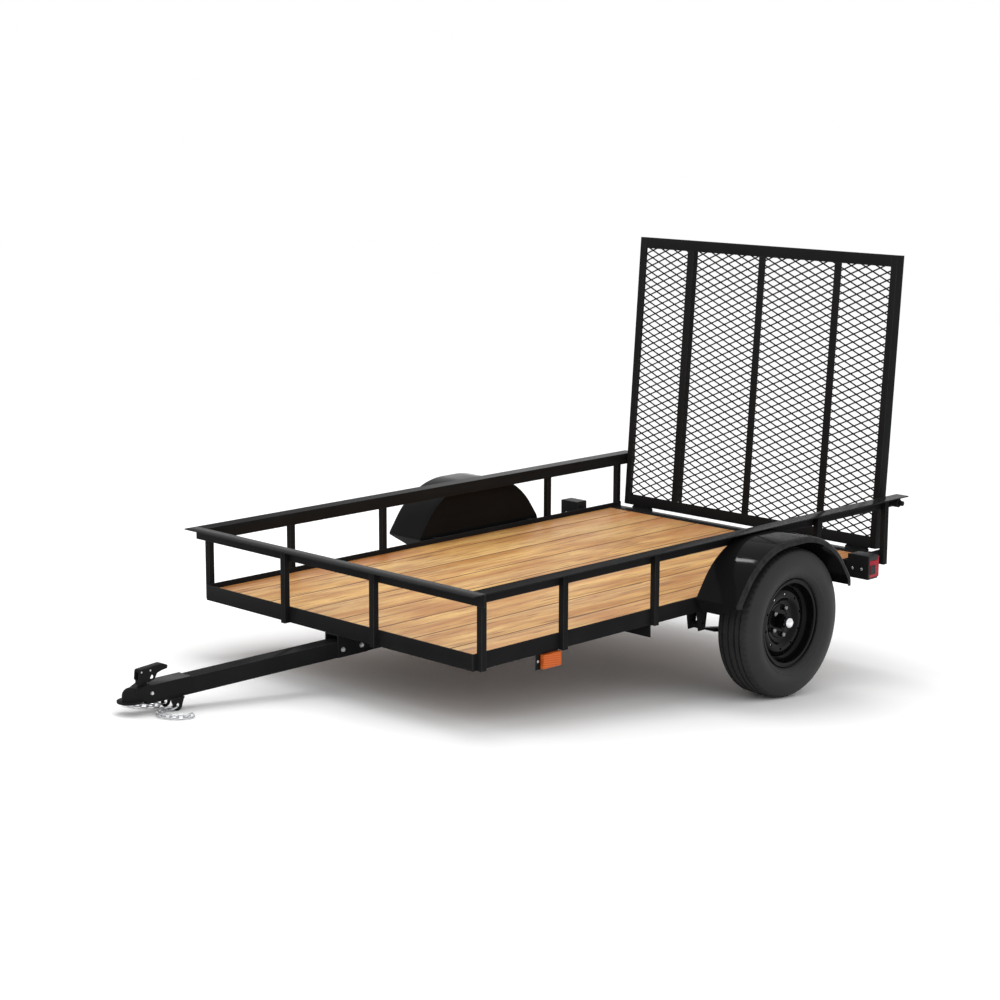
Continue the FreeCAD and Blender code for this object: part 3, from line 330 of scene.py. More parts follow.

# %% [markdown]
# Rubber is never quite black: dust dulls it, and the mould leaves a fine tooth. Bright metal comes
# as three finishes: the chromed hub caps, the greyer zinc of chains and bolts, and the chrome of
# the wheel nuts, painted dark to stand for the dark wheel that they reflect.

# %% Rubber and bright metal
def make_rubber():
    material, start, feed = new_finish("tyre_rubber", (0.022, 0.022, 0.023), 0.6,
                                       Specular_IOR_Level=0.3)
    place = own_place(start)
    dust = noise(start, place, 16.0, 5.0)
    feed(mixed(start, dust, (0.014, 0.014, 0.0145), (0.036, 0.034, 0.034)), "Base Color")
    feed(dust * 0.25 + 0.48, "Roughness")
    feed(bumped(start, noise(start, place, 420.0, 2.0), 0.3, 0.0006), "Normal")
    return material


def make_bright(name, low, high, rough):
    material, start, feed = new_finish(name, high, rough, Metallic=1.0)
    place = own_place(start)
    spangle = noise(start, place, 130.0, 3.0)
    feed(mixed(start, spangle, low, high), "Base Color")
    feed(spangle * 0.16 + (rough - 0.06), "Roughness")
    feed(bumped(start, noise(start, place, 900.0, 2.0), 0.12, 0.0003), "Normal")
    return material


rubber = make_rubber()
chrome = make_bright("bright_hub_steel", (0.72, 0.73, 0.75), (0.86, 0.87, 0.88), 0.16)
zinc = make_bright("zinc_plate", (0.50, 0.51, 0.53), (0.74, 0.75, 0.77), 0.32)
# The nuts' chrome is painted dark, standing for the dark wheel that it reflects.
chrome_painted_dark = make_bright("chrome_painted_dark", (0.10, 0.10, 0.11), (0.30, 0.30, 0.32), 0.14)
print("rubber and metal", rubber.name, chrome.name, zinc.name, chrome_painted_dark.name)

# %% [markdown]
# A lamp lens is clear coloured plastic with rows of small prisms moulded inside. Two waves that
# cross, one for the ribs and one for the rows, shade the colour and lift a bump, which gives the
# same sparkle without any glass. The housings are plain moulded plastic.

# %% Lenses and plastic
def make_lens(name, low, high):
    material, start, feed = new_finish(name, high, 0.2, Specular_IOR_Level=0.15)
    rib, row = (start.node("ShaderNodeTexWave", {"wave_type": "BANDS", "bands_direction": way},
                           {"Vector": own_place(start), "Scale": scale}, out="Fac")
                for way, scale in (("X", 55.0), ("Z", 38.0)))
    feed(mixed(start, rib * row, low, high), "Base Color")
    feed(bumped(start, rib + row * 0.6, 0.5, 0.001), "Normal")
    return material


def make_plastic():
    material, start, feed = new_finish("moulded_black", (0.02, 0.02, 0.021), 0.45,
                                       Specular_IOR_Level=0.2)
    place = own_place(start)
    tooth = noise(start, place, 600.0, 3.0)
    feed(mixed(start, noise(start, place, 9.0), (0.016, 0.016, 0.017), (0.028, 0.028, 0.029)),
         "Base Color")
    feed(tooth * 0.2 + 0.35, "Roughness")
    feed(bumped(start, tooth, 0.3, 0.0004), "Normal")
    return material


red = make_lens("red_lens", (0.36, 0.003, 0.016), (0.72, 0.008, 0.05))
amber = make_lens("amber_lens", (0.68, 0.115, 0.018), (1.0, 0.27, 0.05))
plastic = make_plastic()
print("lamps", red.name, amber.name, plastic.name)

# %% [markdown]
# Each piece ends the same way: its mesh goes to its place, takes a finish, and rides on a body of
# the model. One function does that, and prints the piece so that its weight in triangles can be
# watched. The right side is a mirror of the left, and mirroring turns faces inside out, so they are
# flipped back.

# %% Set a piece down
def set_down(name, mesh, finish, body, slot, at=level, replaces=(), mirror=False, sharp=35):
    """Make the finished piece from a mesh drawn on the level trailer."""
    mesh.transform(at)
    if mirror:
        mesh.transform(Matrix.Scale(-1, 4, (0, 1, 0)))
        mesh.flip_normals()
    if sharp:
        mesh.shade_smooth()
        mesh.set_sharp_from_angle(angle=math.radians(sharp))
    mesh.materials.clear()
    mesh.materials.append(finish)
    piece = bpy.data.objects.new(name, mesh)
    bpy.context.scene.collection.objects.link(piece)
    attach(piece, body)
    if replaces:
        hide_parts(*replaces)
    print(name, len(mesh.loops) - 2 * len(mesh.polygons), "triangles")
    return piece


def drawn(name, shape):
    """A mesh from a bmesh."""
    mesh = bpy.data.meshes.new(name)
    shape.to_mesh(mesh)
    shape.free()
    return mesh


print("pieces can be set down")

# %% [markdown]
# Some meshes are made by modifiers. An object holds the mesh while they work, and releasing it
# turns the result into a plain mesh, so that no finished piece has a live modifier.

# %% Hold and release
def hold(mesh):
    holder = bpy.data.objects.new("holder", mesh)
    bpy.context.scene.collection.objects.link(holder)
    return holder


def release(holder):
    """The plain mesh that the holder's modifiers make. The holder goes."""
    seen = bpy.context.evaluated_depsgraph_get()
    seen.update()
    result = bpy.data.meshes.new_from_object(holder.evaluated_get(seen))
    bpy.data.objects.remove(holder)
    return result


def bevelled(mesh, **settings):
    """The mesh with its sharp edges rounded."""
    holder = hold(mesh)
    bevel = holder.modifiers.new("bevel", "BEVEL")
    bevel.limit_method = "ANGLE"
    for key, value in settings.items():
        setattr(bevel, key, value)
    return release(holder)


print("modifiers can be released")

# %% [markdown]
# Rolled angle and tube never have knife edges. A copy of each steel node is merged into whole faces
# and its edges get a small round, which is what catches the light on black paint. `harden_normals`
# keeps the flats looking flat beside the rounds. The bevel gives its new faces a second material
# number, and that number becomes the `edge` attribute, where the paint lays a painted highlight.

# %% Soften a node
def whole_faces(node):
    """A copy of a node with its loose triangles merged."""
    shape = bmesh.new()
    shape.from_mesh(frame["nodes"][node].data)
    bmesh.ops.remove_doubles(shape, verts=shape.verts, dist=1e-5)
    bmesh.ops.dissolve_limit(shape, angle_limit=math.radians(0.5), verts=shape.verts,
                             edges=shape.edges)
    return drawn(node, shape)


def softened(node, finish, body, slot, edge=0.0012, steps=2):
    mesh = whole_faces(node)
    mesh.shade_smooth()
    mesh.materials.append(finish)
    mesh.materials.append(None)
    mesh = bevelled(mesh, width=edge, segments=steps, angle_limit=math.radians(40),
                    harden_normals=True, material=1)
    # The round faces are marked for the painted edge highlight.
    round_faces = mesh.attributes.new("edge", "FLOAT", "FACE")
    round_faces.data.foreach_set("value", [float(face.material_index) for face in mesh.polygons])
    mesh.polygons.foreach_set("material_index", [0] * len(mesh.polygons))
    return set_down("soft_" + node, mesh, finish, body, slot, at=as_it_is, replaces=(node,),
                    sharp=0)


for node in ("frame_side_left", "frame_side_right", "frame_front", "frame_rear", "joists",
             "rail_front", "rail_left", "rail_right", "posts_left", "posts_right", "posts_front",
             "tongue", "tongue_seat", "tail_member", "fender_brackets", "lamp_brackets", "axle",
             "springs", "spring_clamps", "spring_hangers", "chain_ears", "coupler",
             "coupler_latch", "hinge_leaves"):
    softened(node, steel_black, "chassis", "black_paint")

# %% [markdown]
# The gate's bars are lighter stock, so their rounds are smaller, and they ride on the gate. The
# lamps are moulded, with rounder corners than steel. A short edge in the housings and the markers
# limits how wide a round can be before it runs over itself.

# %% The gate's bars and the lamps
for node in ("gate_side_left", "gate_side_right", "gate_bottom_bar", "gate_top_bar", "gate_ribs",
             "gate_knuckles"):
    softened(node, steel_black, "gate", "black_paint", edge=0.0009)
softened("lamp_housings", plastic, "chassis", "black_plastic", edge=0.0045, steps=4)
softened("lamp_lenses", red, "chassis", "red_lens", edge=0.0015, steps=3)
softened("marker_lenses", amber, "chassis", "amber_lens", edge=0.0037, steps=4)

# %% [markdown]
# Most of the rest is a row of rings joined by faces: a tyre is a cross-section carried round the
# axle, a fender one carried over an arch. So one function joins rings, one carries a profile round
# the y axis, and one draws a path with rounded corners.

# %% Rings and rounded paths
def loft(shape, rings, close_path=False, close_ring=True, caps=False):
    """Join rings of points by quads."""
    rows = [[shape.verts.new(point) for point in ring] for ring in rings]
    count = len(rows[0])
    last = len(rows) if close_path else len(rows) - 1
    for i in range(last):
        here, there = rows[i], rows[(i + 1) % len(rows)]
        for k in range(count if close_ring else count - 1):
            n = (k + 1) % count
            shape.faces.new((here[k], here[n], there[n], there[k]))
    if caps:
        shape.faces.new(rows[0][::-1])
        shape.faces.new(rows[-1])
    return rows


def circle(steps):
    """The angles of even steps round a circle."""
    return [2 * math.pi * k / steps for k in range(steps)]


def ring_round_y(profile, turn):
    """A (y, radius) profile, turned about the y axis."""
    return [(r * math.sin(turn), y, r * math.cos(turn)) for y, r in profile]


def outward(shape):
    bmesh.ops.recalc_face_normals(shape, faces=shape.faces)
    return shape


def rounded_path(corners, radii, steps):
    """An open path whose inner corners are arcs of a given number of steps."""
    flat = [Vector(corner) for corner in corners]
    path = [flat[0]]
    for before, corner, after, radius in zip(flat, flat[1:], flat[2:], radii[1:]):
        into, out = (before - corner).normalized(), (after - corner).normalized()
        inner = into.angle(out)
        middle = corner + (into + out).normalized() * (radius / math.sin(inner / 2))
        start = corner + into * (radius / math.tan(inner / 2))
        end = corner + out * (radius / math.tan(inner / 2))
        first, last = start - middle, end - middle
        sweep = math.copysign(math.pi - inner, first.x * last.y - first.y * last.x)
        path += [middle + Matrix.Rotation(sweep * k / steps, 2) @ first for k in range(steps + 1)]
    return path + [flat[-1]]


print("rings ready")

# %% [markdown]
# A fender is one sheet pressed over an arch, closed on the trailer's side and rolled down over the
# tyre on the outer side. Seen from the side, each depth under its skin follows its own arch. The
# front end turns back under its knee, and its outer corner is cut off, so the points near the lip
# start higher up.

# %% The fender's arch
arch_middle, arch_reach, knee_high, arch_top = -1580.0, 376.0, 440.0, 658.0
foot_reach, foot_high, tail_high = 342.0, 388.0, 408.0
clip_start, clip_wide, clip_most = 885.0, 112.0, 43.0
arch_slope = math.radians(55)
knee_round, shoulder_round, tail_round = 12, 350, 60


def arch(inset, y=0.0, steps=40):
    """The side view of the fender at a depth under its skin, with its clipped start raised."""
    fall = (arch_reach - foot_reach) / (knee_high - foot_high)
    reach = arch_reach - inset / math.sin(arch_slope)
    bend = arch_reach - inset * math.hypot(1, fall)
    raised = max(0.0, (y - clip_start) / clip_wide) * (knee_high - foot_high)
    foot = foot_high + min(raised, clip_most)
    top = arch_top - inset
    shoulder = reach - (top - knee_high) / math.tan(arch_slope)
    corners = [(bend - (knee_high - foot) * fall, foot), (min(reach, bend), knee_high),
               (shoulder, top), (-shoulder, top), (-reach, knee_high),
               (inset - arch_reach, tail_high)]
    radii = [0, knee_round, shoulder_round - inset, shoulder_round - inset, tail_round, 0]
    return rounded_path([(arch_middle + x, z) for x, z in corners], radii, steps)


print("arch from", arch(0)[0][:], "to", arch(0)[-1][:])

# %% [markdown]
# The cross-section runs across the top, round the roll and down the lip, and back 2 mm inside it.
# Every point of it is carried over the arch of its own depth. A flat wall closes the inner side.
# A painted highlight lies along the roll alone, so its faces carry the `edge` attribute.

# %% Fenders
post_face, fender_out = 787.4, 997.0
sheet, roll, lip, roll_start = 2.0, 12.0, 24.0, 988


def fender_section():
    """The skin and the underside of the cross-section, as (y, depth under the skin)."""
    turns = [math.radians(a) for a in range(0, 91, 15)]
    skin, under = ([(post_face, depth), (clip_start, depth)]
                   + [(fender_out - roll + (roll - depth) * math.sin(a),
                       roll - (roll - depth) * math.cos(a)) for a in turns]
                   + [(fender_out - depth, lip)] for depth in (0.0, sheet))
    return skin, under


def fender(mirror, side):
    skin, under = fender_section()
    columns = [[(p.x, y, p.y) for p in arch(inset, y)] for y, inset in skin + under[::-1]]
    shape = bmesh.new()
    rows = loft(shape, list(zip(*columns)))
    for row in (rows[0], rows[-1]):
        for k in range(len(skin) - 1):
            shape.faces.new((row[k], row[k + 1], row[-2 - k], row[-1 - k]))
    wall = [(p.x, p.y) for p in arch(0.5)]
    loft(shape, [[(x, y, z) for x, z in wall] for y in (post_face, post_face + sheet)], caps=True)
    mesh = drawn("fender", outward(shape))
    # The roll's faces are marked for a painted highlight band.
    rolled = mesh.attributes.new("edge", "FLOAT", "FACE")
    for face in mesh.polygons:
        on_roll = face.center.y > roll_start and face.normal.y > 0.2
        rolled.data[face.index].value = 0.7 * on_roll
    return set_down("fender_sheet_" + side, mesh, fender_black, "chassis", "black_paint",
                    mirror=mirror, replaces=("fender_" + side,), sharp=28)


fender(False, "left")
fender(True, "right")

# %% [markdown]
# Whatever repeats is made by a Geometry Nodes tree. Each tree is built here with named inputs, and
# ends by making its instances real, merging the points that meet, and setting the material. A
# modifier's inputs are set by their identifiers, which stay the same when a name is changed.

# %% Start and use a tree
def new_tree(name, inputs):
    """An empty tree with named inputs: the tree, its inputs as wires, a function to end it."""
    tree = bpy.data.node_groups.new(name, "GeometryNodeTree")
    tree.interface.new_socket("Geometry", in_out="INPUT", socket_type="NodeSocketGeometry")
    for label, kind, value in inputs + [("Material", "Material", None)]:
        socket = tree.interface.new_socket(label, in_out="INPUT", socket_type="NodeSocket" + kind)
        if value is not None:
            socket.default_value = value
    tree.interface.new_socket("Geometry", in_out="OUTPUT", socket_type="NodeSocketGeometry")
    entry, leave = tree.nodes.new("NodeGroupInput"), tree.nodes.new("NodeGroupOutput")
    wires = {socket.name: Wire(tree, socket) for socket in entry.outputs if socket.name}

    def end(wire):
        real = wire.node("GeometryNodeRealizeInstances", None, {0: wire})
        joined = wire.node("GeometryNodeMergeByDistance", None, {0: real, "Distance": 0.01})
        dressed = wire.node("GeometryNodeSetMaterial", None,
                            {0: joined, "Material": wires["Material"]})
        tree.links.new(dressed.socket, leave.inputs[0])

    return tree, wires, end


def grown(mesh, tree, values):
    """The plain mesh that a tree makes from a mesh, with its inputs set by their identifiers."""
    holder = hold(mesh)
    modifier = holder.modifiers.new("grow", "NODES")
    modifier.node_group = tree
    for item in tree.interface.items_tree:
        if item.item_type == "SOCKET" and item.in_out == "INPUT" and item.name in values:
            modifier[item.identifier] = values[item.name]
    return release(holder)


def on_points(points, instance, **sockets):
    return points.node("GeometryNodeInstanceOnPoints", None,
                       {"Points": points, "Instance": instance, **sockets})


def carried_vector(start, name):
    return start.node("GeometryNodeInputNamedAttribute", {"data_type": "FLOAT_VECTOR"},
                      {"Name": name})


print("trees can be made")

# %% [markdown]
# The tread repeats seventy-two times round the axle, so it is drawn once as a slice. The tree turns
# the slice on itself as many times as it is told, and the slices are joined into one tyre.

# %% A tree that repeats a slice round the axle
def make_round_tree():
    tree, wires, end = new_tree("repeat_round_axle", [("Count", "Int", 72)])
    start = wires["Geometry"]
    points = start.node("GeometryNodePoints", None, {"Count": wires["Count"]})
    index = start.node("GeometryNodeInputIndex")
    turn = start.node("ShaderNodeCombineXYZ", None,
                      {"Y": index * (2 * math.pi) / wires["Count"]})
    end(on_points(points, start, Rotation=turn))
    return tree


round_tree = make_round_tree()
print("tree", round_tree.name)

# %% [markdown]
# The tyre's slice is five degrees of its cross-section: four grooves that zigzag a little,
# shoulders with a notch in every slice, a round flank with two moulded rings, and the bead that
# sits on the rim.

# %% The tyre's cross-section
tread_radius, groove_floor, groove_top, groove_foot = 304.6, 297.5, 4.2, 2.6
crown_drop, crown_half, widest = 2.6, 61, 88.4
flank_and_bead = [(89.4, 238.0), (89.4, 233.0), (88.2, 230.0), (86.5, 219.0), (82.5, 208.0),
                  (83.2, 205.5), (82.0, 203.0), (74.0, 192.0), (66.5, 185.5), (60.0, 182.5),
                  (56.8, 181.3), (56.8, 166.2), (40.0, 163.5)]
tyre_inside = [(40.0, 176.0), (62.0, 196.0), (77.0, 235.0), (66.0, 272.0), (0.0, 286.0)]


def tyre_outline(step):
    """The tyre's cross-section as (y, radius) at a step of the slice."""
    sway = 2.2 if step in (1, 2) else 0.0
    notch = 5.0 if step == 1 else 0.0
    tread = []
    for centre in (-42.0, -15.0, 15.0, 42.0):
        y = centre + (sway if abs(centre) < 30 else -sway)
        tread += [(y - groove_top, tread_radius), (y - groove_foot, groove_floor),
                  (y + groove_foot, groove_floor), (y + groove_top, tread_radius)]
    tread = [(y, r - crown_drop * (y / crown_half) ** 2) for y, r in tread]
    half = [(58.0, 302.2 - notch), (64.0, 300.0 - notch), (70.0, 295.0),
            (74.0, 289.0 - notch / 2)]
    for a in (math.radians(turn) for turn in (45, 25, 8)):
        half.append((58.5 + 30 * math.cos(a), 235 + 56 * math.sin(a)))
    half += flank_and_bead
    right = [(min(y, widest) if r > 190 else y, r) for y, r in half]
    outline = [(-y, r) for y, r in reversed(right)] + tread + right + tyre_inside
    return outline + [(-y, r) for y, r in reversed(tyre_inside[:-1])]


print("tyre outline of", len(tyre_outline(0)), "points")

# %% [markdown]
# All the pieces that turn with a wheel are drawn round the origin and then set on the axle. They
# stand upright, because the trailer's rest tilts the frame about the axle and leaves the wheels.

# %% Tyres
slice_degrees, slice_steps = 5, 3


def on_wheel(name, mesh, finish, side, slot, replaces=(), sharp=30):
    """Set down a piece that was drawn round the origin and turns with a wheel."""
    mesh.transform(Matrix.Translation((axle_x, wheel_y, axle_z)))
    return set_down(name + side, mesh, finish, "wheel_" + side, slot, at=upright,
                    mirror=side == "right", replaces=replaces, sharp=sharp)


def tyre(side):
    shape = bmesh.new()
    loft(shape, [ring_round_y(tyre_outline(step), math.radians(slice_degrees * step / slice_steps))
                 for step in range(slice_steps + 1)])
    mesh = grown(drawn("tread_slice", shape), round_tree, {"Count": 72, "Material": rubber})
    whole = bmesh.new()
    whole.from_mesh(mesh)
    return on_wheel("tyre_dressed_", drawn("tyre", outward(whole)), rubber, side, "tyre_rubber",
                    ("tyre_" + side,), sharp=32)


for side in ("left", "right"):
    tyre(side)

# %% [markdown]
# A steel wheel is two pressings. The rim is a rolled ring whose edges curl out over the tyre's
# beads, and the disc inside it is dished, with a ring of vents. Both are turned from a profile, and
# a tree punches the vents with one instanced cutter.

# %% Turn a profile and punch the vents
def turned(profiles, steps, closed=True):
    """Some (y, radius) profiles carried round the y axis."""
    shape = bmesh.new()
    for profile in profiles:
        loft(shape, [ring_round_y(profile, turn) for turn in circle(steps)], close_path=True,
             close_ring=closed)
    bmesh.ops.remove_doubles(shape, verts=shape.verts, dist=1e-4)
    return outward(shape)


def make_vent_tree():
    tree, wires, end = new_tree("punch_vents", [("Count", "Int", 10), ("Circle", "Float", 112.0),
                                                ("Vent Radius", "Float", 7.0)])
    start = wires["Geometry"]
    points = start.node("GeometryNodePoints", None, {"Count": wires["Count"]})
    angle = start.node("GeometryNodeInputIndex") * (2 * math.pi) / wires["Count"]
    spot = start.node("ShaderNodeCombineXYZ", None,
                      {"X": start.maths("SINE", angle) * wires["Circle"],
                       "Z": start.maths("COSINE", angle) * wires["Circle"]})
    spread = start.node("GeometryNodeSetPosition", None, {0: points, "Position": spot})
    cutter = start.node("GeometryNodeMeshCylinder", None,
                        {"Vertices": 16, "Radius": wires["Vent Radius"], "Depth": 80.0})
    cutters = on_points(spread, cutter, Rotation=(math.pi / 2, 0, 0))
    solid = start.node("GeometryNodeRealizeInstances", None, {0: cutters})
    end(start.node("GeometryNodeMeshBoolean", {"operation": "DIFFERENCE", "solver": "EXACT"},
                   {"Mesh 1": start, "Mesh 2": solid}))
    return tree


vent_tree = make_vent_tree()
print("tree", vent_tree.name)

# %% [markdown]
# The profiles are pairs of the distance out from the middle of the wheel and the radius. The rim
# goes round its outside and back along its inside, and so does the disc.

# %% Wheels
rim = [(56.6, 181.0), (60.0, 181.4), (63.5, 180.0), (65.0, 177.5), (63.6, 175.2), (60.5, 175.6),
       (59.8, 172.0), (59.6, 163.0), (56.0, 161.0), (40.0, 158.6), (27.0, 157.6), (20.0, 153.0),
       (13.0, 144.6), (-21.0, 144.6), (-27.0, 153.0), (-59.6, 161.0), (-60.5, 177.6),
       (-65.0, 177.6), (-65.0, 181.0), (-57.0, 181.0), (-57.0, 165.0), (-27.0, 161.0),
       (-21.0, 148.0), (13.0, 148.0), (27.0, 161.0), (57.0, 165.0)]
disc = [(8.0, 30.2), (8.0, 46.0), (10.5, 49.0), (10.5, 65.0), (8.0, 69.0), (8.5, 80.0),
        (13.0, 88.0), (22.0, 95.0), (24.6, 101.0), (24.8, 120.0), (22.5, 128.0), (15.0, 137.0),
        (9.0, 144.4), (3.0, 144.4), (9.0, 135.0), (16.5, 126.0), (19.0, 119.0), (18.8, 101.0),
        (16.0, 97.5), (8.0, 91.0), (2.2, 82.0), (2.0, 30.2)]


def wheel(side):
    pressed = grown(drawn("disc", turned([disc], 96)), vent_tree,
                    {"Count": 10, "Circle": 112.0, "Vent Radius": 5.6, "Material": wheel_black})
    shape = turned([rim], 96)
    shape.from_mesh(pressed)
    return on_wheel("wheel_steel_", drawn("wheel", shape), wheel_black, side, "wheel_paint",
                    ("rim_" + side,))


for side in ("left", "right"):
    wheel(side)

# %% [markdown]
# The hub is a black casting, and only its pressed dust cap is bright. The casting's front ring
# below the cap is black too, as a painted dark reflection. Both are turned, closed on their axis,
# and kept as two pieces so that each has its own finish.

# %% Hubs
# The ring from 34 to 46 mm under the cap is black: a painted dark reflection.
casting = [(-32.0, 17.4), (-32.0, 66.0), (-30.0, 68.0), (0.5, 68.0), (2.0, 66.5), (2.0, 29.6),
           (34.0, 29.6), (36.0, 28.6), (36.4, 24.4), (46.0, 24.0), (46.0, 0.0), (28.0, 0.0),
           (28.0, 17.4)]
cap = [(46.2, 23.9), (55.0, 23.6), (60.0, 22.0), (64.5, 18.4), (67.5, 13.0), (69.0, 7.0),
       (69.4, 0.0), (46.2, 0.0)]

for side in ("left", "right"):
    on_wheel("hub_casting_", drawn("casting", turned([casting], 64)), wheel_black, side,
             "wheel_paint", ("hub_" + side,))
    on_wheel("hub_cap_", drawn("cap", turned([cap], 64)), chrome, side, "hub_steel")

# %% [markdown]
# Nuts, bolts and screws all repeat one small head. The tree below stands a copy of a head on every
# point of a mesh and turns it along the direction that the point carries, so a list of places is
# all that a row of fasteners needs.

# %% A tree that stands heads on points
def make_head_tree():
    tree, wires, end = new_tree("heads_on_points", [("Head", "Object", None),
                                                    ("Size", "Float", 1.0)])
    start = wires["Geometry"]
    shape = start.node("GeometryNodeObjectInfo", None, {"Object": wires["Head"]}, out="Geometry")
    turn = start.node("FunctionNodeAlignRotationToVector", {"axis": "Z"},
                      {"Vector": carried_vector(start, "facing")})
    end(on_points(start, shape, Rotation=turn, Scale=wires["Size"]))
    return tree


def head(name, rows, sides):
    """A small head drawn up along z, from (height, radius) rows."""
    shape = bmesh.new()
    loft(shape, [[(r * math.cos(a), r * math.sin(a), z) for a in circle(sides)]
                 for z, r in rows], caps=True)
    return bpy.data.objects.new(name, drawn(name, outward(shape)))


def fasteners(name, spots, shape, size, finish, body, slot, at=level, **more):
    """One piece made of a head at each (point, direction)."""
    mesh = bpy.data.meshes.new(name)
    mesh.from_pydata([point for point, _ in spots], [], [])
    facing = mesh.attributes.new("facing", "FLOAT_VECTOR", "POINT")
    facing.data.foreach_set("vector", [c for _, way in spots for c in way])
    mesh = grown(mesh, head_tree, {"Head": shape, "Size": size, "Material": finish})
    return set_down(name, mesh, finish, body, slot, at=at, **more)


head_tree = make_head_tree()
hex_head = head("hex_head", [(0, 1.2), (0.18, 1.2), (0.18, 1.0), (0.78, 1.0), (0.92, 0.84)], 12)
nut_head = head("nut_head", [(0, 11.0), (1.5, 11.0), (14.5, 11.0), (17.0, 8.2), (17.8, 4.0)], 6)
dome_head = head("dome_head", [(0, 1.0), (0.14, 0.98), (0.34, 0.78), (0.46, 0.4)], 12)
print("heads", hex_head.name, nut_head.name, dome_head.name)

# %% [markdown]
# Five wheel nuts stand on the disc, on a circle of 114.3 mm. They are drawn for the left wheel and
# mirrored for the right one.

# %% Wheel nuts
nut_circle, nut_seat_y, first_nut = 57.15, 905.0, 54

nut_spots = []
for a in (math.radians(first_nut + 72 * k) for k in range(5)):
    nut_spots.append(((axle_x + nut_circle * math.sin(a), nut_seat_y,
                       axle_z + nut_circle * math.cos(a)), (0, 1, 0)))
for side in ("left", "right"):
    fasteners("lug_nuts_" + side, nut_spots, nut_head, 1.0, chrome_painted_dark, "wheel_" + side,
              "hub_steel", at=upright, mirror=side == "right",
              replaces=("wheel_nuts_" + side,), sharp=30)

# %% [markdown]
# The trailer is bolted together in few places: the tongue in its seat, the coupler on the tongue,
# the lamps on their plates, and the springs in their hangers and clamps. The bright bolts are zinc
# plated, and the nuts on the running gear were painted with it.

# %% Bolts of the frame
spring_y = 736.6


def on_both_sides(spots):
    """The same places on the other side of the trailer as well."""
    return spots + [((x, -y, z), (a, -b, c)) for (x, y, z), (a, b, c) in spots]


seat_bolts = [((x, 36.95, 317.0), (0, 1, 0)) for x in (-24.0, -118.0)]
coupler_bolts = [((862.0, 36.15, 325.0), (0, 1, 0))]
latch_rivets = [((x, 15.0, 401.0), (0, 1, 0)) for x in (851.0, 889.0)]
lamp_bolts = [((-2226.0, 806.0, 407.0), (1, 0, 0)), ((-2226.0, 853.0, 408.0), (1, 0, 0)),
              ((-340.0, 757.2, 348.0), (0, 1, 0))]
clamp_nuts = [((axle_x + ahead, spring_y + out, 238.0), (0, 0, -1)) for ahead in (-36.4, 36.4)
              for out in (-27.95, 27.95)]
eye_nuts = [((x, spring_y + way * 28.25, 318.0), (0, way, 0)) for x in (-1275.0, -1915.0)
            for way in (-1, 1)]
for name, spots, shape, size in (("tongue_bolts", seat_bolts, hex_head, 8.0),
                                 ("coupler_bolts", coupler_bolts, hex_head, 5.5),
                                 ("latch_rivets", latch_rivets, dome_head, 3.6),
                                 ("lamp_bolts", lamp_bolts, dome_head, 6.0)):
    fasteners(name, on_both_sides(spots), shape, size, zinc, "chassis", "hub_steel")
fasteners("spring_nuts", on_both_sides(clamp_nuts + eye_nuts), nut_head, 0.75, steel_black,
          "chassis", "black_paint")

# %% [markdown]
# The tail lamp's side lens wraps round a black square that holds a reflector. It is a small moulded
# frame with a sunk middle, lofted from rounded squares.

# %% Squares in the tail lamps
square_x, square_z, square_round = -2258, 406, 4.0
square_layers = [(18.0, 20.0, 887.0), (18.0, 20.0, 889.4), (17.2, 19.2, 890.0),
                 (14.6, 16.6, 890.0), (13.8, 15.8, 889.2)]


def rounded_square(half_wide, half_tall, radius, steps=4):
    ring = []
    for quarter, (u, v) in enumerate(((1, 1), (-1, 1), (-1, -1), (1, -1))):
        for k in range(steps + 1):
            a = math.radians(90 * quarter + 90 * k / steps)
            ring.append((u * (half_wide - radius) + radius * math.cos(a),
                         v * (half_tall - radius) + radius * math.sin(a)))
    return ring


shape = bmesh.new()
for side in (1, -1):
    loft(shape, [[(square_x + u, side * y, square_z + v)
                  for u, v in rounded_square(wide, tall, square_round)]
                 for wide, tall, y in square_layers], caps=True)
set_down("lamp_squares", drawn("squares", outward(shape)), plastic, "chassis", "black_plastic")

# %% [markdown]
# A weld is a row of overlapping ripples. The paths of the welds are plain edges, where posts meet
# the frame and the rail. A tree turns them into curves, places points along them at an even step,
# and sets a small ball on each, half sunk in the steel.

# %% A tree that lays ripples on paths
def make_weld_tree():
    tree, wires, end = new_tree("ripples_on_paths", [("Step", "Float", 4.0),
                                                     ("Ripple", "Float", 2.5)])
    start = wires["Geometry"]
    path = start.node("GeometryNodeMeshToCurve", None, {"Mesh": start})
    points = start.node("GeometryNodeCurveToPoints", {"mode": "LENGTH"},
                        {"Curve": path, "Length": wires["Step"]})
    ripple = start.node("GeometryNodeMeshIcoSphere", None,
                        {"Radius": wires["Ripple"], "Subdivisions": 2})
    end(on_points(points, ripple))
    return tree


weld_tree = make_weld_tree()
print("tree", weld_tree.name)

# %% [markdown]
# Each side post is welded up both edges of its foot, and under the rail along both edges and its
# outer face. The front posts are welded at their feet and under the front rail.

# %% Welds
post, frame_face, foot_low, foot_top, rail_under = 25.4, 762.0, 380.0, 436.0, 664.7
side_posts = (-18.0, -443.0, -959.0, -1997.0, -2484.6)
front_post_edges = (-266.7, -241.3, 241.3, 266.7)


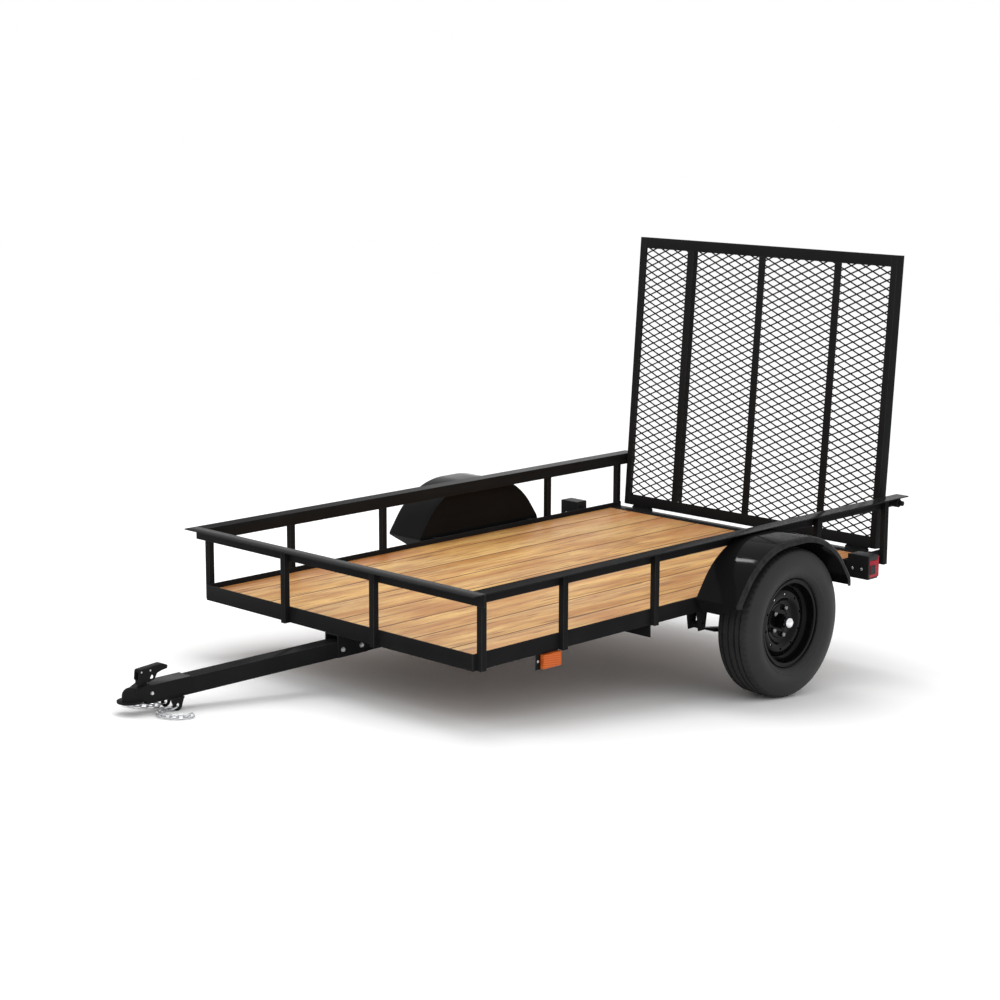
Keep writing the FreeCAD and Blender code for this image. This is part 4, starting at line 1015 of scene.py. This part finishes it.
def post_welds():
    """The welds' paths, as pairs of ends."""
    paths = []
    for x in side_posts:
        for y in (-1, 1):
            for edge in (x, x - post):
                paths.append(((edge, y * frame_face, foot_low), (edge, y * frame_face, foot_top)))
                paths.append(((edge, y * 765.0, rail_under), (edge, y * 786.0, rail_under)))
            paths.append(((x - 1, y * post_face, rail_under),
                          (x - 24.4, y * post_face, rail_under)))
    for y in front_post_edges:
        paths.append(((0.0, y, foot_low), (0.0, y, foot_top)))
        paths.append(((2.0, y, rail_under), (24.0, y, rail_under)))
    return paths


paths = post_welds()
mesh = bpy.data.meshes.new("weld_paths")
mesh.from_pydata([end for path in paths for end in path],
                 [(2 * k, 2 * k + 1) for k in range(len(paths))], [])
mesh = grown(mesh, weld_tree, {"Step": 4.0, "Ripple": 2.5, "Material": steel_black})
set_down("post_welds", mesh, steel_black, "chassis", "black_paint", sharp=0)

# %% [markdown]
# Each plank is a separate board with eased edges. It carries a random-looking but fixed tone, which
# the wood finish reads to shift its grain, so the deck looks laid from different lengths of timber.
# A second attribute marks what lies below the top, which the wood finish paints dark as shade.

# %% Deck
deck_top, below_top, tone_step = 418.9, 1.2, 0.618


def deck():
    mesh = whole_faces("deck_boards")
    tone = mesh.attributes.new("tone", "FLOAT", "POINT")
    rows = sorted({round(v.co.y, 3) for v in mesh.vertices})
    for vertex in mesh.vertices:
        board = rows.index(round(vertex.co.y, 3)) // 2
        tone.data[vertex.index].value = (board * tone_step) % 1
    mesh = bevelled(mesh, width=0.003, segments=3)
    # Faces below the top are marked to be painted dark as shade.
    side = mesh.attributes.new("side", "FLOAT", "POINT")
    down = level.inverted()
    for vertex in mesh.vertices:
        side.data[vertex.index].value = float((down @ vertex.co).z < deck_top - below_top)
    return set_down("deck_planks", mesh, pine, "chassis", "pine_boards", at=as_it_is,
                    replaces=("deck_boards",), sharp=40)


deck()

# %% [markdown]
# Expanded metal is a slit sheet pulled open: strands slant between short bonds, where two strands
# stay joined. The bond with its four half strands is drawn once, and a tree lays it out in rows
# that are staggered by half a diamond.

# %% A tree that lays out expanded metal
diamond_long, diamond_short = 76.2, 34.9


def make_mesh_tree():
    tree, wires, end = new_tree("expanded_metal", [("Long", "Float", diamond_long),
                                                   ("Short", "Float", diamond_short),
                                                   ("Columns", "Int", 40), ("Rows", "Int", 34)])
    start = wires["Geometry"]
    points = start.node("GeometryNodePoints", None, {"Count": wires["Columns"] * wires["Rows"]})
    index = start.node("GeometryNodeInputIndex")
    column = start.maths("MODULO", index, wires["Columns"])
    row = start.maths("FLOOR", index / wires["Columns"])
    odd = start.maths("MODULO", column, 2.0)
    spot = start.node("ShaderNodeCombineXYZ", None, {"Y": column * wires["Long"] * 0.5,
                                                     "Z": (row + odd * 0.5) * wires["Short"]})
    spread = start.node("GeometryNodeSetPosition", None, {0: points, "Position": spot})
    end(on_points(spread, start))
    return tree


mesh_tree = make_mesh_tree()
print("tree", mesh_tree.name)

# %% [markdown]
# The bond's outline has fourteen points: the ends of the four half strands, and the corners between
# them. Its neighbours share the strands' ends, so those ends are left open for the tree to join.

# %% One bond
half_strand, half_sheet = 3.2, 1.5
half_neck, neck_high, bond_reach = 1.8, 4.0, 7.0


def bond():
    """A bond and its half strands, flat in y and z and 3 mm thick."""
    y, z, s = diamond_long / 2 / 2, diamond_short / 4, half_strand
    outline = [(y, z - s), (y, z + s), (half_neck, neck_high), (-half_neck, neck_high),
               (-y, z + s), (-y, z - s), (-bond_reach, 0.0), (-y, -z + s), (-y, -z - s),
               (-half_neck, -neck_high), (half_neck, -neck_high), (y, -z - s), (y, -z + s),
               (bond_reach, 0.0)]
    shape = bmesh.new()
    back, front = ([shape.verts.new((depth, u, v)) for u, v in outline]
                   for depth in (-half_sheet, half_sheet))
    count = len(outline)
    for k in range(count):
        n = (k + 1) % count
        if outline[k][0] != outline[n][0]:
            shape.faces.new((back[k], back[n], front[n], front[k]))
    for strand in ((0, 1, 2, 13), (3, 4, 5, 6), (6, 7, 8, 9), (10, 11, 12, 13),
                   (2, 3, 6, 9, 10, 13)):
        shape.faces.new([back[k] for k in strand][::-1])
        shape.faces.new([front[k] for k in strand])
    return drawn("bond", outward(shape))


print("strands", 2 * half_strand, "mm high")

# %% [markdown]
# The sheet is laid out larger than the gate and cut to the opening inside its bars. Each cut is
# closed, so the strands stay solid.

# %% Trim the sheet
sheet_columns, sheet_rows = 40, 36
sheet_corner = (-2521.9, -(sheet_columns - 1) * diamond_long / 4, 429.0)
opening = [(1, -739.5, 713.5), (2, 467.8, 1671.2)]


def trimmed(mesh, limits):
    """Keep what lies within (axis, low, high) limits, closing each cut."""
    shape = bmesh.new()
    shape.from_mesh(mesh)
    for axis, low, high in limits:
        for value, sign in ((low, -1), (high, 1)):
            point, normal = Vector(), Vector()
            point[axis], normal[axis] = value, sign
            cut = bmesh.ops.bisect_plane(shape, plane_co=point, plane_no=normal, clear_outer=True,
                                         geom=shape.verts[:] + shape.edges[:] + shape.faces[:])
            edges = [e for e in cut["geom_cut"] if isinstance(e, bmesh.types.BMEdge)]
            bmesh.ops.holes_fill(shape, edges=edges, sides=0)
    return drawn("trimmed", shape)


mesh = grown(bond(), mesh_tree, {"Long": diamond_long, "Short": diamond_short,
                                 "Columns": sheet_columns, "Rows": sheet_rows,
                                 "Material": steel_black})
mesh.transform(Matrix.Translation(sheet_corner))
set_down("gate_sheet", trimmed(mesh, opening), steel_black, "gate", "black_paint", at=leaned,
         replaces=("gate_mesh_rising", "gate_mesh_falling"), sharp=0)

# %% [markdown]
# The safety chains are welded links of round wire. One link is drawn, a ring with straight sides,
# and a tree instances it on points that carry each link's turn.

# %% A link, and a tree that lays links on points
wire, clear_inside, link_half = 2.75, 24.0, 7.75
link_reach = clear_inside / 2 + wire


def make_link(steps=32, round_steps=8):
    shape = bmesh.new()
    rings = []
    straight = link_reach - link_half
    for a in circle(steps):
        end = straight if math.cos(a) > 0 else -straight
        centre = Vector((end + link_half * math.cos(a), link_half * math.sin(a), 0))
        away = Vector((math.cos(a), math.sin(a), 0))
        rings.append([centre + away * (wire * math.cos(b)) + Vector((0, 0, wire * math.sin(b)))
                      for b in circle(round_steps)])
    loft(shape, rings, close_path=True)
    return bpy.data.objects.new("link", drawn("link", outward(shape)))


def make_link_tree():
    tree, wires, end = new_tree("links_on_points", [("Link", "Object", None)])
    start = wires["Geometry"]
    shape = start.node("GeometryNodeObjectInfo", None, {"Object": wires["Link"]}, out="Geometry")
    end(on_points(start, shape, Rotation=carried_vector(start, "turn")))
    return tree


link, link_tree = make_link(), make_link_tree()
print("tree", link_tree.name)

# %% [markdown]
# Each link needs its place, its direction and its roll, worked out from the ear's hole outwards.
# The first links fall from the ear to the ground, and the rest lie there in a curve, rolled to one
# side and the other in turn, each a little over one wire inside the last.

# %% Where the links lie
ear_hole, ear_hole_radius, ear_middle = Vector((752.0, 0, 258.0)), 8.0, (63.5 + 6.0) / 2
links, hanging_rolls, lying_roll = 12, (-12.0, 66.0), 45.0
bends = (0, 14, 18, 16, 22, 26, 26, 24, 20, 16, 14)


def chain_places(side):
    """Centre, direction and roll of each link, in millimetres where the trailer rests."""
    lie = wire + link_half * math.sin(math.radians(hanging_rolls[1])) + 0.5
    hole = (level @ ear_hole) * 1000
    start = ear_hole_radius - wire - 0.8
    crossing = 2 * wire + 0.45
    fall = math.asin((hole.z - lie) / (start + 2 * link_reach - crossing))
    way = Vector((math.cos(fall), 0, -math.sin(fall)))
    centre = Vector((hole.x, side * ear_middle, hole.z)) + way * (start + link_reach)
    heading, places = 0.0, []
    for i in range(links):
        roll = hanging_rolls[i] if i < 2 else lying_roll * (-1) ** (i + 1)
        places.append((centre, way, side * roll))
        if i == links - 1:
            break
        far = centre + way * link_reach
        heading += math.radians(side * bends[i])
        ahead = Vector((math.cos(heading), math.sin(heading), 0))
        near = far - (way + ahead).normalized() * crossing
        way = Vector((ahead.x, ahead.y, (lie - near.z) / link_reach)).normalized()
        centre = near + way * link_reach
    return places


print("last link of the left chain at", chain_places(1)[-1][0][:])

# %% [markdown]
# A link's turn comes from three axes: its own direction, and two across it that its roll tilts. The
# points carry it as angles, which is what an instance's rotation takes.

# %% Chains
def link_turn(way, roll):
    """The angles that lay a link along a direction, rolled about it by some degrees."""
    across, tilt = Vector((-way.y, way.x, 0)).normalized(), math.radians(roll)
    flank = across * math.cos(tilt) + way.cross(across) * math.sin(tilt)
    return Matrix((way, flank, way.cross(flank))).transposed().to_euler("XYZ")[:]


for name, side in (("left", 1), ("right", -1)):
    places = chain_places(side)
    mesh = bpy.data.meshes.new("chain")
    mesh.from_pydata([centre for centre, _, _ in places], [], [])
    turn = mesh.attributes.new("turn", "FLOAT_VECTOR", "POINT")
    for k, (_, way, roll) in enumerate(places):
        turn.data[k].vector = link_turn(way, roll)
    mesh = grown(mesh, link_tree, {"Link": link, "Material": zinc})
    set_down("chain_links_" + name, mesh, zinc, "chassis", "zinc_chain", at=to_metres,
             replaces=("chain_" + name,), sharp=0)

# %% [markdown]
# The gate is held up by two spring plungers. Each is a barrel on the rail's end, a rod through it
# and a knob to pull, all turned shapes, drawn back clear of the gate. They are turned round the
# origin and moved after, because points on the axis merge best there.

# %% Gate latches
latch_x, latch_z, left_tip, right_tip = -2560.0, 641.7, 723, 749


def latch_profile(tip):
    """A plunger, its barrel on the rail and its knob, as (out from the rail, radius)."""
    return [(tip, 0.0), (tip, 5.0), (tip + 1.4, 6.35), (0.0, 6.35), (0.0, 18.0), (1.0, 19.0),
            (42.0, 19.0), (44.0, 17.0), (44.0, 6.35), (46.0, 6.35), (46.4, 9.6), (48.0, 11.0),
            (62.0, 11.0), (64.0, 8.6), (64.0, 0.0)]


profiles = [[(sign * (frame_face + y), r) for y, r in latch_profile(tip - frame_face)]
            for sign, tip in ((1, left_tip), (-1, right_tip))]
mesh = drawn("plungers", turned(profiles, 32, closed=False))
mesh.transform(Matrix.Translation((latch_x, 0.0, latch_z)))
set_down("gate_plungers", mesh, steel_black, "chassis", "black_paint",
         replaces=("gate_latches",), sharp=30)

# %% [markdown]
# The studio is a pale floor under a white sky. Where the camera or a reflection looks at the sky it
# reads plain white, and for the light that falls on the trailer it is a little lower. The floor
# gets a little white of its own for the same rays, less where an ambient occlusion node finds the
# trailer close overhead, which paints shade under the deck.

# %% Floor and sky
sky_on_trailer, floor_glow, shade_reach = 0.75, 0.36, 1.6


def background_rays(start):
    """1 where the camera or a reflection looks, 0 for the light that falls on the trailer."""
    camera_ray, glossy, through = start.node(
        "ShaderNodeLightPath", out=("Is Camera Ray", "Is Glossy Ray", "Is Transmission Ray"))
    return start.maths("MAXIMUM", start.maths("MAXIMUM", camera_ray, glossy), through)


def make_floor():
    material, start, feed = new_finish("studio_floor", (0.9, 0.9, 0.9), 0.8, Emission_Strength=1.0)
    open_sky = start.node("ShaderNodeAmbientOcclusion", {"samples": 6},
                          {"Distance": shade_reach}, out="AO")
    # The glow drops where the trailer is overhead, painting shade under the deck.
    seen = background_rays(start) * open_sky * open_sky * floor_glow
    feed(start.node("ShaderNodeCombineColor", None, {0: seen, 1: seen, 2: seen}),
         "Emission Color")
    shape = bmesh.new()
    bmesh.ops.create_grid(shape, x_segments=1, y_segments=1, size=60)
    mesh = drawn("floor", shape)
    mesh.materials.append(material)
    floor = bpy.data.objects.new("floor", mesh)
    floor.location.z = -0.0005
    bpy.context.scene.collection.objects.link(floor)


def make_sky():
    world = bpy.data.worlds.new("sky")
    world.use_nodes = True
    bpy.context.scene.world = world
    background = world.node_tree.nodes["Background"]
    strength = background_rays(Wire(world.node_tree)) * (1 - sky_on_trailer) + sky_on_trailer
    world.node_tree.links.new(strength.socket, background.inputs["Strength"])
    background.inputs["Color"].default_value = (1, 1, 1, 1)


make_floor()
make_sky()
print("floor and sky ready")

# %% [markdown]
# The sky lights the trailer evenly, and one broad soft lamp gives the shadow its direction without
# being mirrored. A small bright one lights nothing and is there only to be mirrored in the near
# fender. The Standard view shows the colours as they are written.

# %% Lamps of the studio
def make_lamp(name, place, aim, wide, long, power, mirrored):
    light = bpy.data.lights.new(name, "AREA")
    light.shape, light.size, light.size_y, light.energy = "RECTANGLE", wide, long, power
    lamp = bpy.data.objects.new(name, light)
    lamp.location = place
    lamp.rotation_mode = "QUATERNION"
    lamp.rotation_quaternion = (Vector(aim) - Vector(place)).to_track_quat("-Z", "Y")
    lamp.visible_glossy, lamp.visible_diffuse = mirrored, not mirrored
    bpy.context.scene.collection.objects.link(lamp)


make_lamp("key", (-1.0, -1.8, 6.5), (0, 0.3, 0.4), wide=4.0, long=4.0, power=165, mirrored=False)
make_lamp("strip", level @ Vector((-1560, -1400, 3780)), level @ Vector((-1380, 940, 600)),
          wide=0.3, long=0.6, power=26, mirrored=True)
bpy.context.scene.view_settings.view_transform = "Standard"
print("studio ready")
